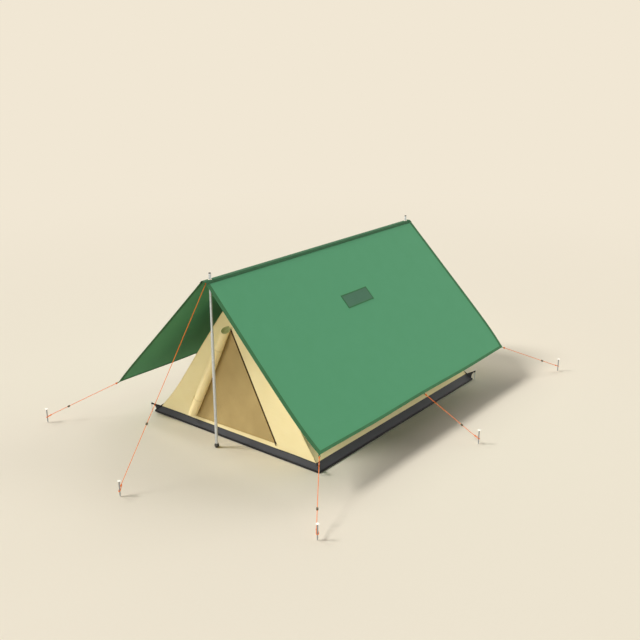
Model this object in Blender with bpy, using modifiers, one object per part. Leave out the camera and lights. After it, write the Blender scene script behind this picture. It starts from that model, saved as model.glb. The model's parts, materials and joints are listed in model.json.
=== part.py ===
# Two-person ridge tent: a flysheet over an inner tent, on two upright poles.
# The door faces -Y, the ridge runs along Y and the ground is z = 0. Lengths are in metres.

import math

import bmesh
import bpy
from mathutils import Matrix, Vector

# Clearance between pieces that touch, and steps round a turned piece
GAP = 0.0003
ROUND_STEPS = 20

# Poles
POLE_FROM_RIDGE_END = 0.0645
POLE_HEIGHT = 1.222
POLE_JOINT_HEIGHT = 0.815
UPPER_TUBE_RADIUS = 0.008
TUBE_WALL = 0.0015
SLIDE_CLEARANCE = 0.0005
UPPER_TUBE_INSERTION = 0.160
FOOT_RADIUS = 0.016
FOOT_HEIGHT = 0.030
FOOT_SOLE = 0.006
CAP_HEIGHT = 0.006
CAP_PLUG_DEPTH = 0.012
STOP_RADIUS = 0.0135
STOP_HEIGHT = 0.012

# Flysheet
RIDGE_HEIGHT = 1.178
RIDGE_HALF_LENGTH = 1.201
EAVE_HEIGHT = 0.258
EAVE_HALF_WIDTH = 0.926
EAVE_HALF_LENGTH = 1.190
FLY_THICKNESS = 0.002
FLY_SAG = 0.020
EAVE_SAG = 0.006
HEM_WIDTH = 0.014
HEM_THICKNESS = 0.005
BAND_FLAT_WIDTH = 0.032
BAND_FLANK = 0.022
BAND_THICKNESS = 0.002
PATCH_LENGTH = 0.294
PATCH_WIDTH = 0.106
PATCH_FROM_RIDGE = 0.398
PATCH_THICKNESS = 0.0015
EYELET_BORE_RADIUS = 0.009
EYELET_RIM = 0.0045
EYELET_HEIGHT = 0.0018

# Groundsheet and inner tent
FLOOR_HALF_WIDTH = 0.777
FLOOR_HALF_LENGTH = 1.000
TUB_HEIGHT = 0.044
TUB_LEAN_SIDE = 0.052
TUB_LEAN_END = 0.031
TUB_THICKNESS = 0.003
INNER_RIDGE_HEIGHT = 1.0865
INNER_RIDGE_HALF_LENGTH = 0.856
INNER_THICKNESS = 0.002

# Doorway, as x and height of its corners on the sloping front wall
DOOR_LEFT_FOOT = (-0.395, 0.066)
DOOR_RIGHT_FOOT = (0.389, 0.076)
DOOR_TOP_HEIGHT = 0.765
DOOR_TOP_LEFT = -0.092
DOOR_TOP_RIGHT = -0.067
MESH_THICKNESS = 0.0015

# Zip
ZIP_HALF_WIDTH = 0.0068
ZIP_TAPE_THICKNESS = 0.001
ZIP_CHAIN_HALF_WIDTH = 0.003
ZIP_CHAIN_HEIGHT = 0.0017
SLIDER_LENGTH = 0.016
SLIDER_WALL = 0.0014
SLIDER_CLEARANCE = 0.0004
SLIDER_FROM_FOOT = 0.018
BRIDGE_LENGTH = 0.009
BRIDGE_WIDTH = 0.0032
BRIDGE_HEIGHT = 0.0052
BRIDGE_BORE_RADIUS = 0.0016
PULLER_LENGTH = 0.026
PULLER_WIDTH = 0.008
PULLER_THICKNESS = 0.0016
PULLER_EYE_LENGTH = 0.006

# Rolled outer door, by the ends of the line where it lies on the wall
ROLL_FOOT = (-0.386, 0.058)
ROLL_TOP = (-0.085, 0.766)
ROLL_FOOT_RADIUS = 0.028
ROLL_TOP_RADIUS = 0.0255
ROLL_LAP = 0.0022
TIE_WIDTH = 0.014
TIE_THICKNESS = 0.0012
TIE_PLACES = {"lower": 0.22, "upper": 0.78}

# Inner tent's suspension and floor loops
APEX_STRAP_WIDTH = 0.016
APEX_STRAP_THICKNESS = 0.0015
APEX_RING_WIRE = 0.003
FLOOR_PEG_BESIDE_FLOOR = 0.007
FLOOR_PEG_PAST_FLOOR = 0.016
FLOOR_PEG_RADIUS = 0.0025
FLOOR_PEG_HEIGHT = 0.080
FLOOR_PEG_HEAD_RADIUS = 0.005
FLOOR_TAPE_WIDTH = 0.012
FLOOR_TAPE_THICKNESS = 0.002
FLOOR_TAPE_FROM_HEIGHT = 0.036
FLOOR_TAPE_TO_HEIGHT = 0.058
SEWN_IN = 0.004

# Guy lines, runners and pegs
PEG_HEIGHT = 0.104
PEG_RADIUS = 0.0043
PEG_TIP_RADIUS = 0.003
PEG_TAPER = 0.014
PEG_HEAD_RADIUS = 0.011
PEG_HEAD_THICKNESS = 0.004
CORNER_PEG_BESIDE_EAVE = 0.3095
CORNER_PEG_PAST_EAVE = 0.413
SIDE_PEG_BESIDE_EAVE = 0.4405
RIDGE_PEG_PAST_RIDGE = 0.764
LINE_ON_PEG_HEIGHT = 0.041
LINE_DIAMETER = 0.004
LINE_TAIL = 0.036
TAB_LENGTH = 0.014
TAB_WIDTH = 0.014
TAB_THICKNESS = 0.0025
TAB_HOLE_RADIUS = 0.003
RIDGE_TAB_FROM_END = 0.040
RUNNER_FROM_PEG = {"front": 0.166, "rear": 0.166, "middle": 0.146, "ridge": 0.425}
RUNNER_LENGTH = 0.020
RUNNER_RADIUS = 0.0062
RUNNER_CLEARANCE = 0.0004

POLE_FROM_CENTRE = RIDGE_HALF_LENGTH - POLE_FROM_RIDGE_END
FLOOR_PEG_X = FLOOR_HALF_WIDTH + FLOOR_PEG_BESIDE_FLOOR
FLOOR_PEG_Y = FLOOR_HALF_LENGTH + FLOOR_PEG_PAST_FLOOR
LOWER_BORE_RADIUS = UPPER_TUBE_RADIUS + SLIDE_CLEARANCE
LOWER_TUBE_RADIUS = LOWER_BORE_RADIUS + TUBE_WALL
LINE_RADIUS = LINE_DIAMETER / 2
TUB_TOP_HALF_WIDTH = FLOOR_HALF_WIDTH - TUB_LEAN_SIDE
TUB_TOP_HALF_LENGTH = FLOOR_HALF_LENGTH - TUB_LEAN_END
WALL_FOOT_HEIGHT = TUB_HEIGHT + GAP
ENDS = {"front": -1, "rear": 1}
SIDES = {"left": -1, "right": 1}


def clear_scene():
    """Remove whatever objects the file opened with."""
    for item in list(bpy.data.objects):
        bpy.data.objects.remove(item, do_unlink=True)


def make_collection(name):
    """A collection linked to the scene."""
    collection = bpy.data.collections.new(name)
    bpy.context.scene.collection.children.link(collection)
    return collection


def make_finish(name, colour, roughness, metallic=0.0):
    """A plain Principled material."""
    finish = bpy.data.materials.new(name)
    finish.use_nodes = True
    shader = finish.node_tree.nodes["Principled BSDF"]
    shader.inputs["Base Color"].default_value = (*colour, 1.0)
    shader.inputs["Roughness"].default_value = roughness
    shader.inputs["Metallic"].default_value = metallic
    return finish


clear_scene()
TENT = make_collection("ridge_tent")
CUTTERS = make_collection("cutters")

FINISHES = {
    "fly": make_finish("fly_polyester", (0.085, 0.27, 0.14), 0.75),
    "trim": make_finish("fly_binding_tape", (0.055, 0.16, 0.085), 0.8),
    "cotton": make_finish("inner_cotton", (0.80, 0.70, 0.42), 0.9),
    "mesh": make_finish("insect_mesh", (0.42, 0.31, 0.12), 0.85),
    "tub": make_finish("groundsheet_pvc", (0.07, 0.07, 0.068), 0.6),
    "webbing": make_finish("black_webbing", (0.02, 0.02, 0.02), 0.8),
    "zip": make_finish("zip_coil", (0.08, 0.05, 0.02), 0.6),
    "steel": make_finish("galvanised_steel", (0.50, 0.51, 0.48), 0.35, 1.0),
    "rubber": make_finish("foot_rubber", (0.035, 0.035, 0.033), 0.8),
    "plastic": make_finish("runner_plastic", (0.10, 0.075, 0.04), 0.5),
    "line": make_finish("guy_line_cord", (0.72, 0.24, 0.07), 0.7),
}


def copied(body, matrix):
    """A copy of a body, moved and turned by a matrix."""
    copy = body.copy()
    bmesh.ops.transform(copy, matrix=matrix, verts=copy.verts)
    if matrix.determinant() < 0:
        bmesh.ops.reverse_faces(copy, faces=copy.faces)
    return copy


def add_piece(name, body, finish, origin=(0, 0, 0)):
    """Turn a body into a named object whose own origin is at the point given."""
    origin = Vector(origin)
    bmesh.ops.translate(body, verts=body.verts, vec=-origin)
    mesh = bpy.data.meshes.new(name)
    body.to_mesh(mesh)
    body.free()
    mesh.materials.append(FINISHES[finish])
    mesh.shade_smooth()
    mesh.set_sharp_from_angle(angle=math.radians(35))
    piece = bpy.data.objects.new(name, mesh)
    piece.location = origin
    TENT.objects.link(piece)
    return piece


def evaluated_body(helper):
    """Read a helper object with its modifiers as a body in world space, then remove it."""
    bpy.context.view_layer.update()
    graph = bpy.context.evaluated_depsgraph_get()
    mesh = bpy.data.meshes.new_from_object(helper.evaluated_get(graph))
    body = bmesh.new()
    body.from_mesh(mesh)
    bmesh.ops.transform(body, matrix=helper.matrix_world, verts=body.verts)
    bmesh.ops.remove_doubles(body, verts=body.verts, dist=0.000001)
    bmesh.ops.recalc_face_normals(body, faces=body.faces)
    bpy.data.objects.remove(helper, do_unlink=True)
    bpy.data.meshes.remove(mesh)
    return body


def helper_object(body, name="helper"):
    """A short-lived object that carries modifiers."""
    mesh = bpy.data.meshes.new(name)
    body.to_mesh(mesh)
    body.free()
    helper = bpy.data.objects.new(name, mesh)
    helper.hide_render = True
    helper.display_type = "WIRE"
    CUTTERS.objects.link(helper)
    return helper


def turned_body(profile, ring=False, steps=ROUND_STEPS):
    """Spin (radius, height) points round Z. They run down the outer side first."""
    body = bmesh.new()
    verts = [body.verts.new((radius, 0, height)) for radius, height in profile]
    last = len(verts) if ring else len(verts) - 1
    for index in range(last):
        body.edges.new((verts[index], verts[(index + 1) % len(verts)]))
    helper = helper_object(body)
    screw = helper.modifiers.new("spin", "SCREW")
    screw.steps = steps
    screw.render_steps = steps
    screw.use_merge_vertices = True
    screw.merge_threshold = 0.00001
    return evaluated_body(helper)


def box_body(size, matrix=None):
    """A box centred on its own origin."""
    body = bmesh.new()
    bmesh.ops.create_cube(body, size=1.0)
    bmesh.ops.scale(body, vec=size, verts=body.verts)
    if matrix is not None:
        bmesh.ops.transform(body, matrix=matrix, verts=body.verts)
    return body


def loft_body(sections):
    """A closed skin over loops of points, one loop after the other, capped at both ends."""
    body = bmesh.new()
    loops = [[body.verts.new(point) for point in section] for section in sections]
    for lower, upper in zip(loops, loops[1:]):
        count = len(lower)
        for index in range(count):
            after = (index + 1) % count
            body.faces.new((lower[index], lower[after], upper[after], upper[index]))
    body.faces.new(list(reversed(loops[0])))
    body.faces.new(loops[-1])
    bmesh.ops.recalc_face_normals(body, faces=body.faces)
    return body


def prism_body(outline, low, high, place):
    """A flat outline made solid from one height to another, then placed by a matrix."""
    data = bpy.data.curves.new("outline", "CURVE")
    data.dimensions = "2D"
    data.fill_mode = "BOTH"
    data.extrude = (high - low) / 2
    spline = data.splines.new("POLY")
    spline.points.add(len(outline) - 1)
    for corner, point in zip(spline.points, outline):
        corner.co = (point[0], point[1], 0, 1)
    spline.use_cyclic_u = True
    helper = bpy.data.objects.new("outline", data)
    CUTTERS.objects.link(helper)
    return copied(evaluated_body(helper), place @ Matrix.Translation((0, 0, (low + high) / 2)))


def tube_body(points, radius, resolution=2):
    """A solid round cord along points, with filled ends."""
    data = bpy.data.curves.new("cord", "CURVE")
    data.dimensions = "3D"
    data.bevel_depth = radius
    data.bevel_resolution = resolution
    data.use_fill_caps = True
    spline = data.splines.new("POLY")
    spline.points.add(len(points) - 1)
    for place, point in zip(spline.points, points):
        place.co = (*point, 1.0)
    helper = bpy.data.objects.new("cord", data)
    CUTTERS.objects.link(helper)
    return evaluated_body(helper)


def sheet_body(us, vs, surface, thickness, wanted=None):
    """A cloth over a grid of (u, v) values, thickened evenly about its surface."""
    body = bmesh.new()
    bmesh.ops.create_grid(body, x_segments=len(us) - 1, y_segments=len(vs) - 1, size=0.5)
    columns = len(us) - 1
    rows = len(vs) - 1
    unwanted = []
    for face in body.faces:
        centre = face.calc_center_median()
        column = int((centre.x + 0.5) * columns)
        row = int((centre.y + 0.5) * rows)
        if wanted is not None and not wanted(column, row):
            unwanted.append(face)
    bmesh.ops.delete(body, geom=unwanted, context="FACES")
    for vert in body.verts:
        column = round((vert.co.x + 0.5) * columns)
        row = round((vert.co.y + 0.5) * rows)
        vert.co = surface(us[column], vs[row])
    helper = helper_object(body)
    solid = helper.modifiers.new("thickness", "SOLIDIFY")
    solid.thickness = thickness
    solid.offset = 0.0
    solid.use_even_offset = True
    return evaluated_body(helper)


def cut_body(body, cutter):
    """Take one closed body out of another."""
    helper = helper_object(body, "blank")
    tool = helper_object(cutter, "tool")
    cut = helper.modifiers.new("cut", "BOOLEAN")
    cut.operation = "DIFFERENCE"
    cut.solver = "EXACT"
    cut.object = tool
    result = evaluated_body(helper)
    bpy.data.objects.remove(tool, do_unlink=True)
    return result


def merged_body(body, other):
    """Join two overlapping bodies into one."""
    helper = helper_object(body, "blank")
    tool = helper_object(other, "tool")
    union = helper.modifiers.new("union", "BOOLEAN")
    union.operation = "UNION"
    union.solver = "EXACT"
    union.object = tool
    result = evaluated_body(helper)
    bpy.data.objects.remove(tool, do_unlink=True)
    return result


def pointing(direction, side, place):
    """A matrix whose Z runs along direction and whose X lies along side as nearly as it can."""
    z_axis = Vector(direction).normalized()
    x_axis = Vector(side) - Vector(side).dot(z_axis) * z_axis
    x_axis.normalize()
    y_axis = z_axis.cross(x_axis)
    turn = Matrix((x_axis, y_axis, z_axis)).transposed().to_4x4()
    return Matrix.Translation(place) @ turn


def spaced(start, end, count):
    """Evenly spaced values from start to end."""
    return [start + (end - start) * index / (count - 1) for index in range(count)]


def inset_loop(points, distance):
    """Move the corners of a flat convex loop inwards, by one distance from every edge."""
    moved = []
    for index, point in enumerate(points):
        before = (points[index - 1] - point).normalized()
        after = (points[(index + 1) % len(points)] - point).normalized()
        moved.append(point + (before + after) * distance / before.cross(after).length)
    return moved


def make_pole(end, sign):
    """One upright pole: foot, lower tube, sliding upper tube with its stop bead, and cap."""
    place = Matrix.Translation((0, sign * POLE_FROM_CENTRE, 0))
    origin = (0, sign * POLE_FROM_CENTRE, POLE_JOINT_HEIGHT)
    socket = LOWER_TUBE_RADIUS + GAP
    foot = turned_body(
        [
            (socket, FOOT_HEIGHT),
            (socket + TUBE_WALL, FOOT_HEIGHT),
            (FOOT_RADIUS, FOOT_HEIGHT * 0.62),
            (FOOT_RADIUS, FOOT_HEIGHT * 0.34),
            (FOOT_RADIUS * 0.68, 0),
            (0, 0),
            (0, FOOT_SOLE),
            (socket, FOOT_SOLE),
        ],
        ring=True,
    )
    add_piece(f"pole_foot_{end}", copied(foot, place), "rubber")
    lower = turned_body(
        [
            (LOWER_TUBE_RADIUS, POLE_JOINT_HEIGHT),
            (LOWER_TUBE_RADIUS, FOOT_SOLE + GAP),
            (LOWER_BORE_RADIUS, FOOT_SOLE + GAP),
            (LOWER_BORE_RADIUS, POLE_JOINT_HEIGHT),
        ],
        ring=True,
    )
    add_piece(f"pole_lower_{end}", copied(lower, place), "steel")
    tube_top = POLE_HEIGHT - CAP_HEIGHT
    tube_foot = POLE_JOINT_HEIGHT - UPPER_TUBE_INSERTION
    bore = UPPER_TUBE_RADIUS - TUBE_WALL
    stop_top = apex_ring_height() - APEX_RING_WIRE / 2 - GAP
    upper = turned_body(
        [
            (UPPER_TUBE_RADIUS, tube_top),
            (UPPER_TUBE_RADIUS, stop_top),
            (STOP_RADIUS, stop_top),
            (STOP_RADIUS, stop_top - STOP_HEIGHT * 0.5),
            (UPPER_TUBE_RADIUS, stop_top - STOP_HEIGHT),
            (UPPER_TUBE_RADIUS, tube_foot),
            (bore, tube_foot),
            (bore, tube_top),
        ],
        ring=True,
    )
    add_piece(f"pole_upper_{end}", copied(upper, place), "steel", origin)
    plug = bore - GAP
    cap_seat = tube_top + GAP
    cap = turned_body(
        [
            (0, POLE_HEIGHT),
            (UPPER_TUBE_RADIUS * 0.8, POLE_HEIGHT),
            (UPPER_TUBE_RADIUS, POLE_HEIGHT - CAP_HEIGHT * 0.3),
            (UPPER_TUBE_RADIUS, cap_seat),
            (plug, cap_seat),
            (plug, tube_top - CAP_PLUG_DEPTH),
            (0, tube_top - CAP_PLUG_DEPTH),
        ]
    )
    add_piece(f"pole_cap_{end}", copied(cap, place), "rubber", origin)


def fly_slope():
    """The fly's downward direction and outward normal on the right side, as (x, z) pairs."""
    across = EAVE_HALF_WIDTH - BAND_FLAT_WIDTH / 2
    down = RIDGE_HEIGHT - EAVE_HEIGHT
    length = math.hypot(across, down)
    return (across / length, -down / length), (down / length, across / length)


def fly_length():
    """Length of a fly panel from the ridge band's bend to the eave."""
    return math.hypot(EAVE_HALF_WIDTH - BAND_FLAT_WIDTH / 2, RIDGE_HEIGHT - EAVE_HEIGHT)


def fly_point(side, u, distance, lift=0.0):
    """A point of a fly panel: u along the ridge from -1 to 1, distance down from the bend.

    The cloth sags between ridge and eave, and its eave dips between the guyed points.
    """
    slope, normal = fly_slope()
    share = distance / fly_length()
    under_band = BAND_THICKNESS + GAP + FLY_THICKNESS / 2
    out = lift - under_band - FLY_SAG * 4 * share * (1 - share)
    x = BAND_FLAT_WIDTH / 2 + slope[0] * distance + normal[0] * out
    z = RIDGE_HEIGHT + slope[1] * distance + normal[1] * out
    z -= EAVE_SAG * share**2 * math.sin(math.pi * u) ** 2
    y = u * (RIDGE_HALF_LENGTH + (EAVE_HALF_LENGTH - RIDGE_HALF_LENGTH) * share)
    return Vector((side * x, y, z))


def fly_edges():
    """Where the hem begins: its share along the ridge, and its distances down the slope."""
    hem_u = 1 - HEM_WIDTH / RIDGE_HALF_LENGTH
    hem_top = BAND_FLANK + 2 * GAP
    hem_foot = fly_length() - HEM_WIDTH
    return hem_u, hem_top, hem_foot


def make_fly_panel(name, side):
    """One cloth panel of the fly, inside its hem."""
    hem_u, _, hem_foot = fly_edges()
    edge_u = hem_u - GAP / RIDGE_HALF_LENGTH
    us = spaced(-edge_u, edge_u, 17)
    downs = spaced(BAND_THICKNESS * 1.5, hem_foot - GAP, 10)
    body = sheet_body(us, downs, lambda u, d: fly_point(side, u, d), FLY_THICKNESS)
    add_piece(f"fly_panel_{name}", body, "fly")


def make_fly_binding(name, side):
    """The thicker hem round the two ends and the eave of one panel, with its guy tabs."""
    hem_u, hem_top, hem_foot = fly_edges()
    us = [-1, *spaced(-hem_u, hem_u, 17), 1]
    downs = [*spaced(hem_top, hem_foot, 10), fly_length()]

    def on_hem(column, row):
        return column in (0, len(us) - 2) or row == len(downs) - 2

    body = sheet_body(us, downs, lambda u, d: fly_point(side, u, d), HEM_THICKNESS, on_hem)
    for line, (held, peg) in guy_points().items():
        if line.endswith(name):
            body = merged_body(body, tab_body(held, peg))
    add_piece(f"fly_binding_{name}", body, "trim")


def make_ridge_band():
    """The band over the ridge, pierced for the two poles, with a guy tab at each end."""
    slope, _ = fly_slope()
    half = BAND_FLAT_WIDTH / 2
    middle = RIDGE_HEIGHT - BAND_THICKNESS / 2
    profile = [
        (-half - slope[0] * BAND_FLANK, middle + slope[1] * BAND_FLANK),
        (-half, middle),
        (half, middle),
        (half + slope[0] * BAND_FLANK, middle + slope[1] * BAND_FLANK),
    ]

    def on_band(index, y):
        return Vector((profile[index][0], y, profile[index][1]))

    ys = spaced(-RIDGE_HALF_LENGTH, RIDGE_HALF_LENGTH, 3)
    band = sheet_body(range(4), ys, on_band, BAND_THICKNESS)
    hole = EYELET_BORE_RADIUS + GAP
    reach = BAND_THICKNESS * 4
    for sign in ENDS.values():
        drill = turned_body(
            [(0, reach), (hole, reach), (hole, -reach), (0, -reach)]
        )
        place = Matrix.Translation((0, sign * POLE_FROM_CENTRE, middle))
        band = cut_body(band, copied(drill, place))
    for line, (held, peg) in guy_points().items():
        if line.startswith("ridge"):
            band = merged_body(band, tab_body(held, peg))
    add_piece("fly_ridge_band", band, "trim")


def make_ridge_eyelet(end, sign):
    """A metal ring on the band, round the pole tip."""
    base = RIDGE_HEIGHT + GAP
    outer = EYELET_BORE_RADIUS + EYELET_RIM
    shoulder = EYELET_HEIGHT * 0.4
    ring = turned_body(
        [
            (outer - shoulder, base + EYELET_HEIGHT),
            (outer, base + EYELET_HEIGHT - shoulder),
            (outer, base),
            (EYELET_BORE_RADIUS, base),
            (EYELET_BORE_RADIUS, base + EYELET_HEIGHT),
        ],
        ring=True,
    )
    place = Matrix.Translation((0, sign * POLE_FROM_CENTRE, 0))
    add_piece(f"fly_eyelet_{end}", copied(ring, place), "steel")


def make_fly_patch():
    """The plain rectangular patch sewn on the right panel."""
    lift = FLY_THICKNESS / 2 + GAP + PATCH_THICKNESS / 2
    end_u = PATCH_LENGTH / 2 / RIDGE_HALF_LENGTH
    us = spaced(-end_u, end_u, 4)
    downs = spaced(PATCH_FROM_RIDGE, PATCH_FROM_RIDGE + PATCH_WIDTH, 4)
    body = sheet_body(us, downs, lambda u, d: fly_point(1, u, d, lift), PATCH_THICKNESS)
    add_piece("fly_patch", body, "trim")


def make_groundsheet():
    """The tub groundsheet: a flat floor, low walls that lean inwards, and four corner tapes."""
    body = box_body((1, 1, 1))
    top_faces = [face for face in body.faces if face.normal.z > 0.5]
    bmesh.ops.delete(body, geom=top_faces, context="FACES_ONLY")
    for vert in body.verts:
        if vert.co.z > 0:
            corner = (TUB_TOP_HALF_WIDTH, TUB_TOP_HALF_LENGTH, TUB_HEIGHT)
        else:
            corner = (FLOOR_HALF_WIDTH, FLOOR_HALF_LENGTH, 0)
        vert.co = Vector(
            (
                math.copysign(corner[0], vert.co.x),
                math.copysign(corner[1], vert.co.y),
                corner[2],
            )
        )
    helper = helper_object(body)
    solid = helper.modifiers.new("thickness", "SOLIDIFY")
    solid.thickness = TUB_THICKNESS
    solid.offset = -1.0
    solid.use_even_offset = True
    tub = evaluated_body(helper)
    for side in SIDES.values():
        for end in ENDS.values():
            tub = merged_body(tub, floor_tape_body(side, end))
    add_piece("groundsheet_tub", tub, "tub")


def floor_tape_body(side, end):
    """A tape from a corner of the groundsheet out to its peg, with a hole for the peg."""
    share = FLOOR_TAPE_FROM_HEIGHT / TUB_HEIGHT
    seam = Vector(
        (
            side * (FLOOR_HALF_WIDTH - TUB_LEAN_SIDE * share),
            end * (FLOOR_HALF_LENGTH - TUB_LEAN_END * share),
            FLOOR_TAPE_FROM_HEIGHT,
        )
    )
    hole_centre = Vector((side * FLOOR_PEG_X, end * FLOOR_PEG_Y, FLOOR_TAPE_TO_HEIGHT))
    direction = (hole_centre - seam).normalized()
    level = direction.cross(Vector((0, 0, 1)))
    first = seam - direction * TUB_THICKNESS
    last = hole_centre + direction * FLOOR_TAPE_WIDTH * 0.6
    size = (FLOOR_TAPE_WIDTH, FLOOR_TAPE_THICKNESS, (last - first).length)
    tape = box_body(size, pointing(direction, level, (first + last) / 2))
    hole = FLOOR_PEG_RADIUS + 2 * GAP
    reach = FLOOR_TAPE_THICKNESS * 3
    drill = turned_body([(0, reach), (hole, reach), (hole, -reach), (0, -reach)], steps=12)
    return cut_body(tape, copied(drill, Matrix.Translation(hole_centre)))


def inner_shell(inset):
    """Corners of the inner tent's hipped shape, moved inwards by inset from its four walls."""
    rise = INNER_RIDGE_HEIGHT - WALL_FOOT_HEIGHT
    side_length = math.hypot(rise, TUB_TOP_HALF_WIDTH)
    end_run = TUB_TOP_HALF_LENGTH - INNER_RIDGE_HALF_LENGTH
    end_length = math.hypot(rise, end_run)
    half_width = TUB_TOP_HALF_WIDTH - inset * side_length / rise
    half_length = TUB_TOP_HALF_LENGTH - inset * end_length / rise
    drop = inset * side_length / TUB_TOP_HALF_WIDTH
    ridge_half = half_length - end_run * (rise - drop) / rise
    feet = {
        (side, end): Vector((side * half_width, end * half_length, WALL_FOOT_HEIGHT))
        for side in SIDES.values()
        for end in ENDS.values()
    }
    tops = {
        end: Vector((0, end * ridge_half, INNER_RIDGE_HEIGHT - drop)) for end in ENDS.values()
    }
    return feet, tops


def wall_body(loop_of):
    """A cloth wall between the inner tent's outer and inner shapes, mitred at its seams."""
    outer = inset_loop(loop_of(*inner_shell(0)), GAP)
    inner = inset_loop(loop_of(*inner_shell(INNER_THICKNESS)), GAP)
    return loft_body([outer, inner])


def make_side_wall(name, side):
    """A sloping side wall of the inner tent."""
    body = wall_body(
        lambda feet, tops: [feet[(side, -1)], feet[(side, 1)], tops[1], tops[-1]]
    )
    add_piece(f"inner_wall_{name}", body, "cotton")


def make_rear_wall():
    """The closed triangular wall at the back."""
    body = wall_body(lambda feet, tops: [feet[(-1, 1)], feet[(1, 1)], tops[1]])
    add_piece("inner_wall_rear", body, "cotton")


def front_frame():
    """Matrix of the front wall: X across it, Y up its slope, Z out of its outer face."""
    rise = INNER_RIDGE_HEIGHT - WALL_FOOT_HEIGHT
    run = TUB_TOP_HALF_LENGTH - INNER_RIDGE_HALF_LENGTH
    up = Vector((0, run, rise)).normalized()
    out = Vector((0, -rise, run)).normalized()
    turn = Matrix(((1, 0, 0), up, out)).transposed().to_4x4()
    return Matrix.Translation((0, -TUB_TOP_HALF_LENGTH, WALL_FOOT_HEIGHT)) @ turn


def on_front(x, height, out=0.0):
    """A point in the front wall's own frame, from its x and its height above the ground."""
    rise = INNER_RIDGE_HEIGHT - WALL_FOOT_HEIGHT
    run = TUB_TOP_HALF_LENGTH - INNER_RIDGE_HALF_LENGTH
    return Vector((x, (height - WALL_FOOT_HEIGHT) * math.hypot(rise, run) / rise, out))


def doorway_loop():
    """Corners of the doorway in the wall's frame: left foot, right foot, top right, top left."""
    return [
        on_front(*DOOR_LEFT_FOOT),
        on_front(*DOOR_RIGHT_FOOT),
        on_front(DOOR_TOP_RIGHT, DOOR_TOP_HEIGHT),
        on_front(DOOR_TOP_LEFT, DOOR_TOP_HEIGHT),
    ]


def make_front_wall():
    """The front wall with its doorway cut out."""
    wall = wall_body(lambda feet, tops: [feet[(-1, -1)], feet[(1, -1)], tops[-1]])
    reach = INNER_THICKNESS * 4
    doorway = prism_body(doorway_loop(), -reach, reach, front_frame())
    add_piece("inner_wall_front", cut_body(wall, doorway), "cotton")


def zip_frame():
    """Matrix of the zip, X across it, Y up it and Z out of the wall, and the zip's length."""
    _, foot, top, _ = doorway_loop()
    up = (top - foot).normalized()
    across = up.cross(Vector((0, 0, 1)))
    centre = foot - across * (ZIP_HALF_WIDTH + GAP)
    turn = Matrix((across, up, (0, 0, 1))).transposed().to_4x4()
    return front_frame() @ Matrix.Translation(centre) @ turn, (top - foot).length


def along_zip(side=1):
    """Matrix for an outline drawn across the zip and made solid along it."""
    return Matrix(((side, 0, 0), (0, 0, 1), (0, 1, 0))).to_4x4()


def zip_trims():
    """How much shorter than the doorway's edge the zip is at its foot and at its top."""
    left, foot, top, _ = doorway_loop()
    up = (top - foot).normalized()
    width = 2 * ZIP_HALF_WIDTH
    trims = []
    for edge in (left - foot, Vector((1, 0, 0))):
        lean = abs(up.dot(edge.normalized()))
        trims.append(4 * GAP + width * lean / math.sqrt(1 - lean**2))
    return trims


def zip_half_body(side):
    """Tape and chain of one zip half. Side 1 is the wall's half, -1 the door's."""
    back = -(INNER_THICKNESS + ZIP_TAPE_THICKNESS) / 2
    face = back + ZIP_TAPE_THICKNESS
    outline = [
        (GAP, back),
        (ZIP_HALF_WIDTH, back),
        (ZIP_HALF_WIDTH, face),
        (ZIP_CHAIN_HALF_WIDTH, face),
        (ZIP_CHAIN_HALF_WIDTH, face + ZIP_CHAIN_HEIGHT),
        (GAP, face + ZIP_CHAIN_HEIGHT),
    ]
    frame, length = zip_frame()
    foot_trim, top_trim = zip_trims()
    return prism_body(outline, foot_trim, length - top_trim, frame @ along_zip(side))


def door_hinge():
    """Foot of the mesh door's hinge line and the line's direction, in the wall's frame."""
    foot, _, _, top = doorway_loop()
    up = (top - foot).normalized()
    across = Vector((0, 0, -1)).cross(up)
    inner_face = -(INNER_THICKNESS + MESH_THICKNESS) / 2
    return foot + across * 2 * GAP + Vector((0, 0, inner_face)), up


def make_mesh_door():
    """The insect-mesh door with its half of the zip. It swings inwards on its left edge."""
    hinge = front_frame() @ door_hinge()[0]
    left_foot, right_foot, top_right, top_left = inset_loop(doorway_loop(), 2 * GAP)
    up = (top_right - right_foot).normalized()
    room = 2 * ZIP_HALF_WIDTH + GAP
    sill = (right_foot - left_foot).normalized()
    right_foot = right_foot - sill * room / sill.cross(up).length
    level = Vector((1, 0, 0))
    top_right = top_right - level * room / level.cross(up).length
    loop = [left_foot, right_foot, top_right, top_left]
    face = -(INNER_THICKNESS - MESH_THICKNESS) / 2
    mesh = prism_body(loop, face - MESH_THICKNESS, face, front_frame())
    add_piece("mesh_door", mesh, "mesh", hinge)
    add_piece("zip_half_door", zip_half_body(-1), "zip", hinge)
    add_piece("zip_half_wall", zip_half_body(1), "zip")


def slider_place():
    """Middle of the slider on the zip's centre line, level with the chain's face."""
    frame, _ = zip_frame()
    face = (ZIP_TAPE_THICKNESS - INNER_THICKNESS) / 2 + ZIP_CHAIN_HEIGHT
    return frame @ Matrix.Translation((0, SLIDER_FROM_FOOT, face))


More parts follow.
